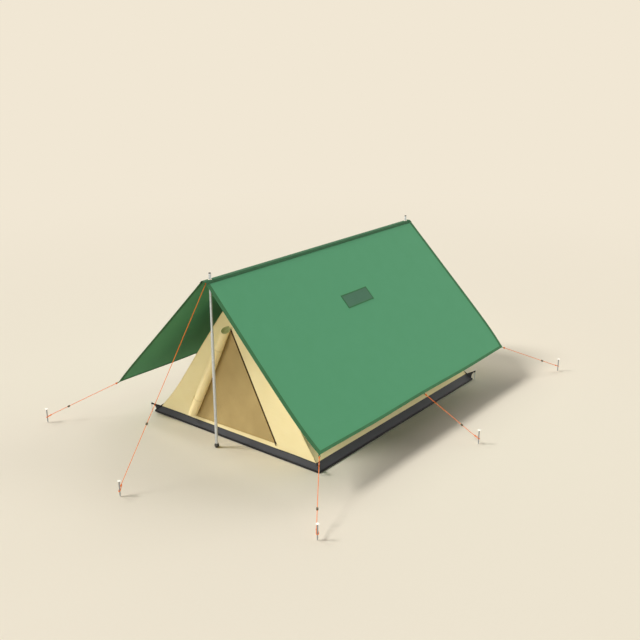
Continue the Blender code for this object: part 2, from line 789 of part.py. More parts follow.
def make_slider():
    """The slider caps the chain from outside, and carries a bridge for its puller."""
    half_room = ZIP_CHAIN_HALF_WIDTH + SLIDER_CLEARANCE
    half_width = half_room + SLIDER_WALL
    skirt = SLIDER_CLEARANCE - ZIP_CHAIN_HEIGHT
    roof = SLIDER_CLEARANCE + SLIDER_WALL
    outline = [
        (-half_width, skirt),
        (-half_room, skirt),
        (-half_room, SLIDER_CLEARANCE),
        (half_room, SLIDER_CLEARANCE),
        (half_room, skirt),
        (half_width, skirt),
        (half_width, roof),
        (-half_width, roof),
    ]
    half = SLIDER_LENGTH / 2
    channel = prism_body(outline, -half, half, along_zip())
    sunk = SLIDER_WALL / 2
    bridge = box_body(
        (BRIDGE_WIDTH, BRIDGE_LENGTH, BRIDGE_HEIGHT + sunk),
        Matrix.Translation((0, 0, roof + (BRIDGE_HEIGHT - sunk) / 2)),
    )
    drill = turned_body(
        [
            (0, BRIDGE_WIDTH),
            (BRIDGE_BORE_RADIUS, BRIDGE_WIDTH),
            (BRIDGE_BORE_RADIUS, -BRIDGE_WIDTH),
            (0, -BRIDGE_WIDTH),
        ],
        steps=12,
    )
    across = Matrix.Translation((0, 0, roof + BRIDGE_HEIGHT / 2)) @ Matrix.Rotation(
        math.pi / 2, 4, "Y"
    )
    bridge = cut_body(bridge, copied(drill, across))
    place = slider_place()
    slider = copied(merged_body(channel, bridge), place)
    add_piece("zip_slider", slider, "steel", place.translation)


def puller_pivot():
    """Middle of the slider's bridge bore."""
    lift = SLIDER_CLEARANCE + SLIDER_WALL + BRIDGE_HEIGHT / 2
    return slider_place() @ Matrix.Translation((0, 0, lift))


def make_puller():
    """A flat pull tab whose eye hangs on the slider's bridge."""
    bar = PULLER_THICKNESS
    plate = box_body(
        (PULLER_WIDTH, PULLER_LENGTH, PULLER_THICKNESS),
        Matrix.Translation((0, bar / 2 - PULLER_LENGTH / 2, 0)),
    )
    eye = box_body(
        (BRIDGE_WIDTH + 4 * GAP, PULLER_EYE_LENGTH, PULLER_THICKNESS * 3),
        Matrix.Translation((0, -bar / 2 - PULLER_EYE_LENGTH / 2, 0)),
    )
    pivot = puller_pivot()
    add_piece("zip_puller", copied(cut_body(plate, eye), pivot), "steel", pivot.translation)


def roll_radius(share):
    """Radius of the rolled door at a share of its length from the foot."""
    return ROLL_FOOT_RADIUS + (ROLL_TOP_RADIUS - ROLL_FOOT_RADIUS) * share


def roll_axis(share):
    """A point on the roll's axis, which lies its own radius clear of the wall."""
    x = ROLL_FOOT[0] + (ROLL_TOP[0] - ROLL_FOOT[0]) * share
    height = ROLL_FOOT[1] + (ROLL_TOP[1] - ROLL_FOOT[1]) * share
    return front_frame() @ on_front(x, height, roll_radius(share) + 2 * GAP)


def roll_frame(share):
    """Matrix of a cross-section of the roll: Z along the roll, X away from the wall."""
    out = front_frame().to_3x3() @ Vector((0, 0, 1))
    return pointing(roll_axis(1) - roll_axis(0), out, roll_axis(share))


def make_rolled_door():
    """The cotton outer door, rolled up and drawn in a little under its two ties."""
    length = (roll_axis(1) - roll_axis(0)).length
    half_tie = (TIE_WIDTH / 2 + 3 * GAP) / length
    pinch = TIE_THICKNESS + 2 * GAP
    stations = {0.0: ROLL_LAP, 0.012: 0.0, 0.5: 0.0, 0.988: 0.0, 1.0: ROLL_LAP}
    for place in TIE_PLACES.values():
        stations[place - half_tie * 3] = 0.0
        stations[place - half_tie] = pinch
        stations[place + half_tie] = pinch
        stations[place + half_tie * 3] = 0.0
    turns = 20
    sections = []
    for share, drawn_in in sorted(stations.items()):
        frame = roll_frame(share)
        radius = roll_radius(share) - drawn_in
        section = []
        for step in range(turns + 1):
            angle = 2 * math.pi * step / turns
            lap = ROLL_LAP * (1 - step / turns)
            spot = Vector((math.cos(angle), math.sin(angle), 0)) * (radius - lap)
            section.append(frame @ spot)
        sections.append(section)
    add_piece("rolled_door", loft_body(sections), "cotton")


def make_door_tie(name, share):
    """A tape that holds the rolled door."""
    outer = roll_radius(share)
    inner = outer - TIE_THICKNESS
    half = TIE_WIDTH / 2
    tape = turned_body([(outer, half), (outer, -half), (inner, -half), (inner, half)], ring=True)
    add_piece(f"door_tie_{name}", copied(tape, roll_frame(share)), "cotton")


def apex_ring_height():
    """Height of the middle of the wire rings that hang on the poles under the band."""
    return RIDGE_HEIGHT - BAND_THICKNESS - GAP - APEX_RING_WIRE / 2


def make_apex_hanger(end, sign):
    """A ring on the pole with a strap that holds up one end of the inner tent's ridge."""
    wire = APEX_RING_WIRE / 2
    ring_radius = UPPER_TUBE_RADIUS + GAP + 2 * wire
    profile = []
    for step in range(8):
        angle = -2 * math.pi * step / 8
        profile.append((ring_radius + wire * math.cos(angle), wire * math.sin(angle)))
    height = apex_ring_height()
    place = Matrix.Translation((0, sign * POLE_FROM_CENTRE, height))
    ring = copied(turned_body(profile, ring=True), place)
    start = Vector((0, sign * (POLE_FROM_CENTRE - ring_radius), height))
    end_height = INNER_RIDGE_HEIGHT - 3 * GAP
    finish = Vector((0, sign * (INNER_RIDGE_HALF_LENGTH + 3 * GAP), end_height))
    size = (APEX_STRAP_WIDTH, APEX_STRAP_THICKNESS, (finish - start).length)
    strap = box_body(size, pointing(finish - start, (1, 0, 0), (start + finish) / 2))
    add_piece(f"apex_hanger_{end}", merged_body(ring, strap), "webbing")


def make_floor_pegs():
    """Thin pegs through the tapes at the groundsheet's corners."""
    for end, fore in ENDS.items():
        for side, hand in SIDES.items():
            peg = turned_body(
                [
                    (0, FLOOR_PEG_HEIGHT),
                    (FLOOR_PEG_HEAD_RADIUS, FLOOR_PEG_HEIGHT),
                    (FLOOR_PEG_HEAD_RADIUS, FLOOR_PEG_HEIGHT - FLOOR_PEG_RADIUS),
                    (FLOOR_PEG_RADIUS, FLOOR_PEG_HEIGHT - FLOOR_PEG_RADIUS * 2),
                    (FLOOR_PEG_RADIUS, 0),
                    (0, 0),
                ],
                steps=12,
            )
            place = Matrix.Translation((hand * FLOOR_PEG_X, fore * FLOOR_PEG_Y, 0))
            add_piece(f"floor_peg_{end}_{side}", copied(peg, place), "steel")


def guy_points():
    """Each guy line's name, the point where its tab is held, and the foot of its peg."""
    eave = fly_length()
    points = {}
    for end, fore in ENDS.items():
        for side, hand in SIDES.items():
            held = fly_point(hand, fore, eave)
            beside = EAVE_HALF_WIDTH + CORNER_PEG_BESIDE_EAVE
            past = EAVE_HALF_LENGTH + CORNER_PEG_PAST_EAVE
            points[f"{end}_{side}"] = (held, Vector((hand * beside, fore * past, 0)))
    for side, hand in SIDES.items():
        beside = EAVE_HALF_WIDTH + SIDE_PEG_BESIDE_EAVE
        points[f"middle_{side}"] = (fly_point(hand, 0, eave), Vector((hand * beside, 0, 0)))
    for end, fore in ENDS.items():
        under_band = RIDGE_HEIGHT - BAND_THICKNESS
        held = Vector((0, fore * (RIDGE_HALF_LENGTH - RIDGE_TAB_FROM_END), under_band))
        past = RIDGE_HALF_LENGTH + RIDGE_PEG_PAST_RIDGE
        points[f"ridge_{end}"] = (held, Vector((0, fore * past, 0)))
    return points


def guy_direction(held, peg):
    """Direction of a guy line from its tab to its peg."""
    return (peg + Vector((0, 0, LINE_ON_PEG_HEIGHT)) - held).normalized()


def tab_body(held, peg):
    """A short tab that carries a guy line, sewn in at the held point, with a hole for the knot."""
    reach = TAB_THICKNESS * 2
    drill = turned_body(
        [(0, reach), (TAB_HOLE_RADIUS, reach), (TAB_HOLE_RADIUS, -reach), (0, -reach)], steps=10
    )
    turned = copied(drill, Matrix.Rotation(math.pi / 2, 4, "X"))
    direction = guy_direction(held, peg)
    level = direction.cross(Vector((0, 0, 1)))
    centre = held + direction * (TAB_LENGTH - SEWN_IN) / 2
    blank = box_body((TAB_WIDTH, TAB_THICKNESS, TAB_LENGTH + SEWN_IN))
    lift = Matrix.Translation((0, 0, SEWN_IN))
    return copied(cut_body(blank, copied(turned, lift)), pointing(direction, level, centre))


def guy_line_points(held, peg):
    """Points of one line: straight from its tab, round its peg, and back in a short tail."""
    direction = guy_direction(held, peg)
    start = held + direction * (TAB_LENGTH + GAP)
    wrap = PEG_RADIUS + LINE_RADIUS + GAP
    level = Vector((start.x - peg.x, start.y - peg.y, 0))
    distance = level.length
    towards = level / distance
    across = Vector((-towards.y, towards.x, 0))
    rise = (start.z - LINE_ON_PEG_HEIGHT) / distance
    middle = Vector((peg.x, peg.y, LINE_ON_PEG_HEIGHT))
    first = math.acos(wrap / distance)

    def round_peg(angle):
        along = wrap * math.cos(angle)
        beside = wrap * math.sin(angle)
        return middle + towards * along + across * beside + Vector((0, 0, rise * along))

    last = 2 * math.pi - first * 0.93
    wrapped = [round_peg(angle) for angle in spaced(first, last, 12)]
    straight = (wrapped[0] - start).normalized()
    beside = across - straight * across.dot(straight)
    near = LINE_TAIL * 1.0
    spacing = LINE_DIAMETER + 3 * GAP
    tail_end = wrapped[0] - straight * near - beside.normalized() * spacing
    return [start, *wrapped, tail_end]


def make_guy_lines():
    """Eight guy lines, each with its peg and a runner that slides on its straight part."""
    peg_body = turned_body(
        [
            (0, PEG_HEIGHT),
            (PEG_HEAD_RADIUS * 0.8, PEG_HEIGHT),
            (PEG_HEAD_RADIUS, PEG_HEIGHT - PEG_HEAD_THICKNESS / 2),
            (PEG_HEAD_RADIUS, PEG_HEIGHT - PEG_HEAD_THICKNESS),
            (PEG_RADIUS, PEG_HEIGHT - PEG_HEAD_THICKNESS),
            (PEG_RADIUS, PEG_TAPER),
            (PEG_TIP_RADIUS, 0),
            (0, 0),
        ],
        steps=14,
    )
    bore = LINE_RADIUS + RUNNER_CLEARANCE
    half = RUNNER_LENGTH / 2
    runner_body = turned_body(
        [
            (RUNNER_RADIUS * 0.8, half),
            (RUNNER_RADIUS, half * 0.6),
            (RUNNER_RADIUS, -half * 0.6),
            (RUNNER_RADIUS * 0.8, -half),
            (bore, -half),
            (bore, half),
        ],
        ring=True,
        steps=14,
    )
    for name, (held, peg) in guy_points().items():
        points = guy_line_points(held, peg)
        add_piece(f"guy_line_{name}", tube_body(points, LINE_RADIUS), "line")
        add_piece(f"guy_peg_{name}", copied(peg_body, Matrix.Translation(peg)), "steel")
        start, touch = points[0], points[1]
        place = touch + (start - touch).normalized() * RUNNER_FROM_PEG[name.split("_")[0]]
        frame = pointing(start - touch, (0, 0, 1), place)
        add_piece(f"guy_runner_{name}", copied(runner_body, frame), "plastic", place)
        along = (start - touch).normalized()
        print(
            f"line {name}: length {route_length(points):.4f}, straight {(start - touch).length:.4f},"
            f" runner at {rounded(place)}, axis {rounded(along)}"
        )


def route_length(points):
    """Length of a line through points."""
    return sum((after - before).length for before, after in zip(points, points[1:]))


def rounded(vector):
    """A vector as text, to a hundredth of a millimetre."""
    return "[" + ", ".join(f"{value:.5f}" for value in vector) + "]"


def print_axes():
    """Say where the moving pieces turn and slide."""
    hinge, up = door_hinge()
    frame = front_frame()
    print(f"mesh door hinge {rounded(frame @ hinge)}, axis {rounded(frame.to_3x3() @ up)}")
    frame, length = zip_frame()
    print(f"zip slider axis {rounded(frame.to_3x3().col[1])}, zip length {length:.4f}")
    pivot = puller_pivot()
    print(f"puller pivot {rounded(pivot.translation)}, axis {rounded(-pivot.to_3x3().col[0])}")


def build():
    """Make every piece of the tent."""
    for name, side in SIDES.items():
        make_fly_panel(name, side)
        make_fly_binding(name, side)
        make_side_wall(name, side)
    make_ridge_band()
    make_fly_patch()
    make_groundsheet()
    make_front_wall()
    make_rear_wall()
    make_mesh_door()
    make_slider()
    make_puller()
    make_rolled_door()
    for name, share in TIE_PLACES.items():
        make_door_tie(name, share)
    for end, sign in ENDS.items():
        make_ridge_eyelet(end, sign)
        make_apex_hanger(end, sign)
        make_pole(end, sign)
    make_floor_pegs()
    make_guy_lines()
    print_axes()


build()
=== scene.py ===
# %% [markdown]
# A ridge tent is cloth pulled tight over two upright poles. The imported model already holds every
# rigid piece at its real size. This lesson dresses it: cords first, then the flysheet, the inner
# tent with its door and zip, and last the poles and pegs. Lengths are in metres.

# %% Load the frame
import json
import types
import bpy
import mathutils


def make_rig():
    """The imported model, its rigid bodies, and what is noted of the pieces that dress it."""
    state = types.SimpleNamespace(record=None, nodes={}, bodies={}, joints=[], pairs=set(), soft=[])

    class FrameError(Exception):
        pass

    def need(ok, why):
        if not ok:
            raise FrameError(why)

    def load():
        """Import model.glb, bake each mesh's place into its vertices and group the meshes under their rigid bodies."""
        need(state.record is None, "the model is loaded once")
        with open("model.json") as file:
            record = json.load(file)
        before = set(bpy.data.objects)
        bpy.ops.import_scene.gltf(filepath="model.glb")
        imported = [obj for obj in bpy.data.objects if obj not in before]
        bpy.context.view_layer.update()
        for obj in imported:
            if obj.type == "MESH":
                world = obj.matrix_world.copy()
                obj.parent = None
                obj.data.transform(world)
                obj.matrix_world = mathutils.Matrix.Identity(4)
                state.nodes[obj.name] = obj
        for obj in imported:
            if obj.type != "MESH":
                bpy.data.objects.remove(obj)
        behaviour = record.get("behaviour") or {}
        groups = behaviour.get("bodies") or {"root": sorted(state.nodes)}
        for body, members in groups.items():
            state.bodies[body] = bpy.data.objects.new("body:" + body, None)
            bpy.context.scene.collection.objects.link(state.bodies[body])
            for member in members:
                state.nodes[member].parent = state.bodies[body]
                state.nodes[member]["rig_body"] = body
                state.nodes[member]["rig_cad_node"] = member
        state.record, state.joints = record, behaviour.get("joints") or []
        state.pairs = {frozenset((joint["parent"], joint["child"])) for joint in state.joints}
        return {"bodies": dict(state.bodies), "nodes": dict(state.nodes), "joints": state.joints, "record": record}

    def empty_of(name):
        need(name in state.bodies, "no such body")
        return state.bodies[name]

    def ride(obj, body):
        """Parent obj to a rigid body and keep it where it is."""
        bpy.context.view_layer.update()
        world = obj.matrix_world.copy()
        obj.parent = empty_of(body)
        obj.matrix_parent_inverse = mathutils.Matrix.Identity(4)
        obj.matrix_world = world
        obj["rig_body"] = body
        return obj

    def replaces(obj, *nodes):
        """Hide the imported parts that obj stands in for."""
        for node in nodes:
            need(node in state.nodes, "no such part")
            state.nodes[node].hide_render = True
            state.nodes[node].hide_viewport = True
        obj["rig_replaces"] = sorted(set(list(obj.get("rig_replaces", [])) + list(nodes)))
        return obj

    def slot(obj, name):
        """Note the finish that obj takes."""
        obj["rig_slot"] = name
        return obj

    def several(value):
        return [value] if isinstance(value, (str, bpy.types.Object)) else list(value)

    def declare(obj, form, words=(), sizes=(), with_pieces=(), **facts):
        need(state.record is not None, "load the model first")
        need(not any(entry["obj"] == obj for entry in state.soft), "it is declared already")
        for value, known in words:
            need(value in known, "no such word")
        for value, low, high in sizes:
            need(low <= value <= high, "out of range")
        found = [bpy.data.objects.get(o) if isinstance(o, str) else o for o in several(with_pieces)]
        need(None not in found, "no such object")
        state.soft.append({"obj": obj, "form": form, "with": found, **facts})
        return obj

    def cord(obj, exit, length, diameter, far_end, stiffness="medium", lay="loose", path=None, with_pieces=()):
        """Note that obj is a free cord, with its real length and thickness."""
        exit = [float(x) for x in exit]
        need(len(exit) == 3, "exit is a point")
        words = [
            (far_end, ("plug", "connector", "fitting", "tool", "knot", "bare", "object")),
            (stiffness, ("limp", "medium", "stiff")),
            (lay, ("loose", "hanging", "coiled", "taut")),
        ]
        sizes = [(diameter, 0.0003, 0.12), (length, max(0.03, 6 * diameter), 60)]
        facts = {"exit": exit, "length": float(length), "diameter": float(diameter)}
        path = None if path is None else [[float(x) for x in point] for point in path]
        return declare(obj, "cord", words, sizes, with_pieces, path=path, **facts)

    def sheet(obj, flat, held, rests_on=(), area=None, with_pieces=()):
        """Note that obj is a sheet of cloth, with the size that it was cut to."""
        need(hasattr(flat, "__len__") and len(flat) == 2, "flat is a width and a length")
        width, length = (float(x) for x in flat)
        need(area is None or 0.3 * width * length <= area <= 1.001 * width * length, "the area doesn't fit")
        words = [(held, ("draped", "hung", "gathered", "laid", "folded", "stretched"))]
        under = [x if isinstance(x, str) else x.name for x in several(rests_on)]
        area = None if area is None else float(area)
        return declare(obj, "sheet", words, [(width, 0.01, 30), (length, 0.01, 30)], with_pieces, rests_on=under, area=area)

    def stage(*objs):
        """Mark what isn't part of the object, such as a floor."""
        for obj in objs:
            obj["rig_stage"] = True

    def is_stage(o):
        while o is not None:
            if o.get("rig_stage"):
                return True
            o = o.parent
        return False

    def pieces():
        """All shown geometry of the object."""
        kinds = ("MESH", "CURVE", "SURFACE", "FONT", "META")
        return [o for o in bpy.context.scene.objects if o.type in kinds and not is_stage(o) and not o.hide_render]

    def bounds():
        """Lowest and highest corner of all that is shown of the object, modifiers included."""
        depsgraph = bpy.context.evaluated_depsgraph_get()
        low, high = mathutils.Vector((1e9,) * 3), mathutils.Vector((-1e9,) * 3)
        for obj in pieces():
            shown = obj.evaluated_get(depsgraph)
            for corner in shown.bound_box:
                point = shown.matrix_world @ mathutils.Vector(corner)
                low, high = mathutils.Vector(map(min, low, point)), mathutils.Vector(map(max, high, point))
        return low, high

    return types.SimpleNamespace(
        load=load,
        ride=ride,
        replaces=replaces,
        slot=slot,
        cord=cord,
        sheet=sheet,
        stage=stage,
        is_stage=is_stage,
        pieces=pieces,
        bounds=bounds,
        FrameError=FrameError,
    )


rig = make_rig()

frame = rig.load()

import json
import math

import bmesh
import bpy
import numpy as np
from mathutils import Matrix, Vector, noise

CAD_BOX = [list(corner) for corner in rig.bounds()]
print("bodies:", len(frame["bodies"]), "nodes:", len(frame["nodes"]))

# %% [markdown]
# A photograph is matched from the camera outwards. The lens and the place of this camera came
# from lines that are parallel on the real tent: the poles, the ridge, the eaves and the pegs.
# The picture is square, so one focal length serves both ways.

# %% Camera
CAMERA_PLACE = Vector((3.8287, -4.8821, 2.6757))
CAMERA_AIM = Vector((-0.6433, 0.8112, 0.2628))
LENS_MM = 48.95
SENSOR_MM = 36

camera_data = bpy.data.cameras.new("camera")
camera_data.lens = LENS_MM
camera_data.sensor_width = SENSOR_MM
camera = bpy.data.objects.new("camera", camera_data)
camera.location = CAMERA_PLACE
camera.rotation_euler = (CAMERA_AIM - CAMERA_PLACE).to_track_quat("-Z", "Y").to_euler()
bpy.context.scene.collection.objects.link(camera)
bpy.context.scene.camera = camera
fall = (CAMERA_PLACE - CAMERA_AIM).normalized().z
print("camera looks down", round(math.degrees(math.asin(fall)), 1), "degrees")

# %% [markdown]
# Colours are picked as screen values, so one function turns them to the linear values that a
# shader needs. One more adds any node: its settings are attributes, and its inputs are either
# plain values or the outputs of other nodes. Every finish ends in the same way, so a third
# function dyes a surface between two near colours and raises it in low relief.


# %% Colours and nodes
SLOTS = {}


def linear(hex_colour):
    """A screen colour such as #5a8f66 as linear red, green, blue and alpha."""
    shares = [int(hex_colour[place : place + 2], 16) / 255 for place in (1, 3, 5)]
    bright = [c / 12.92 if c <= 0.04045 else ((c + 0.055) / 1.055) ** 2.4 for c in shares]
    return (*bright, 1.0)


def add_node(tree, kind, inputs=None, **settings):
    """Add one node, give it its settings, and fill its inputs with values or links."""
    made = tree.nodes.new(kind)
    for name, value in settings.items():
        setattr(made, name, value)
    for key, value in (inputs or {}).items():
        if isinstance(value, bpy.types.NodeSocket):
            tree.links.new(value, made.inputs[key])
        else:
            made.inputs[key].default_value = value
    return made


def new_material(name, slot, values):
    """A material with its tree and shader. Values are set on the shader's own sockets."""
    made = bpy.data.materials.new(name)
    made.use_nodes = True
    shader = made.node_tree.nodes["Principled BSDF"]
    for socket, value in values.items():
        shader.inputs[socket].default_value = value
    SLOTS[made.name] = slot
    return made, made.node_tree, shader


def dye_and_raise(tree, shader, share, light, dark, height, bump, depth):
    """Colour a surface by a share from dark to light, and raise it by a height."""
    dye = add_node(
        tree,
        "ShaderNodeMix",
        {0: share, 6: linear(dark), 7: linear(light)},
        data_type="RGBA",
    )
    relief = add_node(
        tree, "ShaderNodeBump", {"Height": height, "Strength": bump, "Distance": depth}
    )
    tree.links.new(dye.outputs[2], shader.inputs["Base Color"])
    tree.links.new(relief.outputs[0], shader.inputs["Normal"])


print("colour and node helpers ready")

# %% [markdown]
# The floor is a large sheet of matt paper. Its colour close by comes from the light. Further out
# it slides into the colour of the backdrop, for the rays that show the backdrop itself, so no
# horizon shows. The sky does the same: it is seen as a plain colour and sends no light itself.

# %% Floor and sky
BACKDROP = "#f1e7d4"
PAPER_LIGHT = "#f8eeda"
PAPER_DARK = "#f6ecd7"
# Metres from the middle between which the paper slides into the backdrop
FADE_START = 3.2
FADE_END = 9.0
FLOOR_RADIUS = 70
# The paper lies a hair under the tent, so that the two surfaces don't fight for a pixel
FLOOR_DROP = 0.0006


def seen_share(tree):
    """1 for rays that show the backdrop itself: from the camera, a mirror or a window."""
    ray = add_node(tree, "ShaderNodeLightPath")
    shares = [ray.outputs[f"Is {kind} Ray"] for kind in ("Camera", "Glossy", "Transmission")]
    either = add_node(tree, "ShaderNodeMath", {0: shares[0], 1: shares[1]}, operation="MAXIMUM")
    return add_node(
        tree, "ShaderNodeMath", {0: either.outputs[0], 1: shares[2]}, operation="MAXIMUM"
    ).outputs[0]


floor_material, tree, shader = new_material(
    "seamless_paper", None, {"Roughness": 0.95, "Specular IOR Level": 0.1}
)
place = add_node(tree, "ShaderNodeTexCoord")
distance = add_node(
    tree, "ShaderNodeVectorMath", {0: place.outputs["Object"]}, operation="LENGTH"
)
fade = add_node(
    tree,
    "ShaderNodeMapRange",
    {"Value": distance.outputs["Value"], "From Min": FADE_START, "From Max": FADE_END},
    interpolation_type="SMOOTHSTEP",
)
fibres = add_node(
    tree, "ShaderNodeTexNoise", {"Vector": place.outputs["Object"], "Scale": 60.0, "Detail": 3.0}
)
paper = add_node(
    tree,
    "ShaderNodeMix",
    {0: fibres.outputs["Fac"], 6: linear(PAPER_DARK), 7: linear(PAPER_LIGHT)},
    data_type="RGBA",
)
tree.links.new(paper.outputs[2], shader.inputs["Base Color"])
far = add_node(
    tree,
    "ShaderNodeMath",
    {0: fade.outputs["Result"], 1: seen_share(tree)},
    operation="MULTIPLY",
)
backdrop = add_node(tree, "ShaderNodeEmission", {"Color": linear(BACKDROP), "Strength": 1.0})
blend = add_node(
    tree,
    "ShaderNodeMixShader",
    {0: far.outputs[0], 1: shader.outputs[0], 2: backdrop.outputs[0]},
)
tree.links.new(blend.outputs[0], tree.nodes["Material Output"].inputs["Surface"])

floor_mesh = bpy.data.meshes.new("floor")
rim = bmesh.new()
bmesh.ops.create_circle(rim, cap_ends=True, segments=64, radius=FLOOR_RADIUS)
rim.to_mesh(floor_mesh)
rim.free()
floor_mesh.materials.append(floor_material)
floor = bpy.data.objects.new("floor", floor_mesh)
floor.location.z = -FLOOR_DROP
bpy.context.scene.collection.objects.link(floor)
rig.stage(floor)

world = bpy.data.worlds.new("sky")
world.use_nodes = True
bpy.context.scene.world = world
tree = world.node_tree
tree.nodes.clear()
seen = add_node(tree, "ShaderNodeBackground", {"Color": linear(BACKDROP), "Strength": 1.0})
unlit = add_node(tree, "ShaderNodeBackground", {"Strength": 0.0})
sky = add_node(
    tree, "ShaderNodeMixShader", {0: seen_share(tree), 1: unlit.outputs[0], 2: seen.outputs[0]}
)
add_node(tree, "ShaderNodeOutputWorld", {"Surface": sky.outputs[0]})
print("floor is", 2 * FLOOR_RADIUS, "m wide")

# %% [markdown]
# The light is that of a studio: wide lamps, far away. Their places were read from the soft
# shadows: the deep one right of the tent, the half shade in front of it and the short ones at the
# pegs. A level of 1 lights a surface that faces the lamp just as bright as its colour. On the
# open floor the levels add up to about 0.9, each counted by the sine of its lamp's height. The
# fill lamps are kept off the floor, as reflectors beside the object would be. One of them stands
# low, for the tub's right wall.

# %% Lamps
LAMPS = (
    # name, azimuth and height in degrees, spread in degrees, level, whether it reaches the floor
    ("key", 217, 46, 16, 0.63, True),
    ("side_key", 184, 47, 18, 0.23, True),
    ("rear_right", 50, 32, 26, 0.155, True),
    ("rear", 92, 42, 30, 0.13, True),
    ("rear_left", 134, 40, 44, 0.18, True),
    ("front_fill", 265, 18, 60, 0.385, False),
    ("right_fill", 0, 45, 60, 0.25, False),
    ("right_low_fill", 0, 12, 60, 0.08, False),
    ("left_fill", 205, 18, 60, 0.10, False),
    ("top_fill", 0, 90, 180, 0.18, False),
    ("rear_fill", 90, 6, 60, 0.35, False),
)
beside_floor = bpy.data.collections.new("all_but_the_floor")
beside_floor.objects.link(floor)
beside_floor.collection_objects[0].light_linking.link_state = "EXCLUDE"
for name, azimuth, height, spread, level, reaches_floor in LAMPS:
    lamp_data = bpy.data.lights.new(name, "SUN")
    lamp_data.energy = level * math.pi
    lamp_data.angle = math.radians(spread)
    lamp = bpy.data.objects.new(name, lamp_data)
    turn = math.radians(azimuth)
    rise = math.radians(height)
    level_part = math.cos(rise)
    towards = Vector((level_part * math.cos(turn), level_part * math.sin(turn), math.sin(rise)))
    lamp.rotation_euler = (-towards).to_track_quat("-Z", "Y").to_euler()
    bpy.context.scene.collection.objects.link(lamp)
    if not reaches_floor:
        lamp.light_linking.receiver_collection = beside_floor
bpy.context.scene.view_settings.view_transform = "Standard"
on_floor = sum(lamp[4] * math.sin(math.radians(lamp[2])) for lamp in LAMPS if lamp[5])
print("light on the open floor:", round(on_floor, 3))

# %% [markdown]
# The sizes that the dressing shares with the frame are repeated here, so that a cloth or a cord
# lies exactly where its solid is. The cloth of the flysheet has a few of its own, because it is
# drawn finer than its solid: how far it sags, how its ends bow inwards from corner to ridge, how
# much shorter its ridge is at either end, and how wide its hems are.

# %% Shared sizes
POLE_FROM_CENTRE = 1.1365
RIDGE_HEIGHT = 1.178
RIDGE_HALF_LENGTH = 1.201
EAVE_HEIGHT = 0.258
EAVE_HALF_WIDTH = 0.926
EAVE_HALF_LENGTH = 1.190
EAVE_SAG = 0.006
BAND_FLAT_WIDTH = 0.032
BAND_FLANK = 0.022
BAND_THICKNESS = 0.002
TUB_TOP = Vector((0.725, 0.969, 0.044))
TUB_FOOT = Vector((0.777, 1.000, 0.0))
INNER_RIDGE = Vector((0, 0.856, 1.0865))
GAP = 0.0003
ENDS = {"front": -1, "rear": 1}
SIDES = {"left": -1, "right": 1}

# The flysheet's own sizes, by end where they differ
FLY_SAG = 0.004
EDGE_BOW = {-1: 0.028, 1: 0.040}
RIDGE_SHORT = {-1: 0.004, 1: 0.018}
HEM_WIDTH = 0.020
END_HEM_WIDTH = 0.030
FLY_SLOPE = math.hypot(EAVE_HALF_WIDTH - BAND_FLAT_WIDTH / 2, RIDGE_HEIGHT - EAVE_HEIGHT)
# How far out and how far down a panel goes for each metre of its slope
FLY_RUN = (EAVE_HALF_WIDTH - BAND_FLAT_WIDTH / 2) / FLY_SLOPE
FLY_FALL = (RIDGE_HEIGHT - EAVE_HEIGHT) / FLY_SLOPE
UP = Vector((0, 0, 1))
print("a fly panel slopes", round(FLY_SLOPE, 3), "m from bend to eave")

# %% [markdown]
# Woven cloth looks flat from afar and lively close by: threads cross over and under each other,
# and their dye takes unevenly. Both patterns read the piece's UV map, which this lesson keeps in
# metres, so that a thread is as wide on a small patch as on a whole panel. Real threads here are
# about 0.3 mm apart. They are drawn 1.2 mm apart or more, because finer ones wouldn't show.


# %% Woven finishes
def wave(tree, vector, turns):
    """Sine stripes over a vector. Turns are radians per metre in each direction."""
    angle = add_node(tree, "ShaderNodeVectorMath", {0: vector, 1: turns}, operation="DOT_PRODUCT")
    return add_node(tree, "ShaderNodeMath", {0: angle.outputs["Value"]}, operation="SINE").outputs[0]


def woven(name, slot, light, dark, thread, roughness, bump, glow=0.0):
    """Woven cloth from two near colours, with a thread spacing in metres."""
    values = {"Roughness": roughness, "Specular IOR Level": 0.2, "Subsurface Weight": glow}
    values |= {"Subsurface Radius": (1.0, 0.9, 0.6), "Subsurface Scale": 0.004}
    made, tree, shader = new_material(name, slot, values)
    cloth = add_node(tree, "ShaderNodeUVMap")
    warp = wave(tree, cloth.outputs[0], (math.pi / thread, 0, 0))
    weft = wave(tree, cloth.outputs[0], (0, math.pi / thread, 0))
    weave = add_node(tree, "ShaderNodeMath", {0: warp, 1: weft}, operation="MULTIPLY")
    cloud = add_node(
        tree, "ShaderNodeTexNoise", {"Vector": cloth.outputs[0], "Scale": 9.0, "Detail": 4.0}
    )
    # A slub is a thick place in a yarn, here 40 threads long
    slub = add_node(
        tree,
        "ShaderNodeMapping",
        {"Vector": cloth.outputs[0], "Scale": (1 / thread / 40, 1 / thread, 1)},
    )
    fibre = add_node(
        tree, "ShaderNodeTexNoise", {"Vector": slub.outputs[0], "Scale": 0.5, "Detail": 2.0}
    )
    tone = add_node(
        tree,
        "ShaderNodeMath",
        {0: cloud.outputs["Fac"], 1: fibre.outputs["Fac"], 2: 0.0},
        operation="MULTIPLY_ADD",
    )
    share = add_node(
        tree,
        "ShaderNodeMapRange",
        {"Value": tone.outputs[0], "From Min": 0.12, "From Max": 0.42},
    ).outputs["Result"]
    dye_and_raise(tree, shader, share, light, dark, weave.outputs[0], bump, thread * 0.2)
    return made


# Proofed polyester taffeta: smooth, closely woven, dull green
FLY_CLOTH = woven("polyester_taffeta", "fly_polyester", "#51926a", "#4f9067", 0.0014, 0.8, 0.1)


def trim_cloth(name, light, dark, bump=0.3):
    """Taffeta folded double, which is a little rougher than the panels."""
    return woven(name, "fly_binding_tape", light, dark, 0.0014, 0.85, bump)


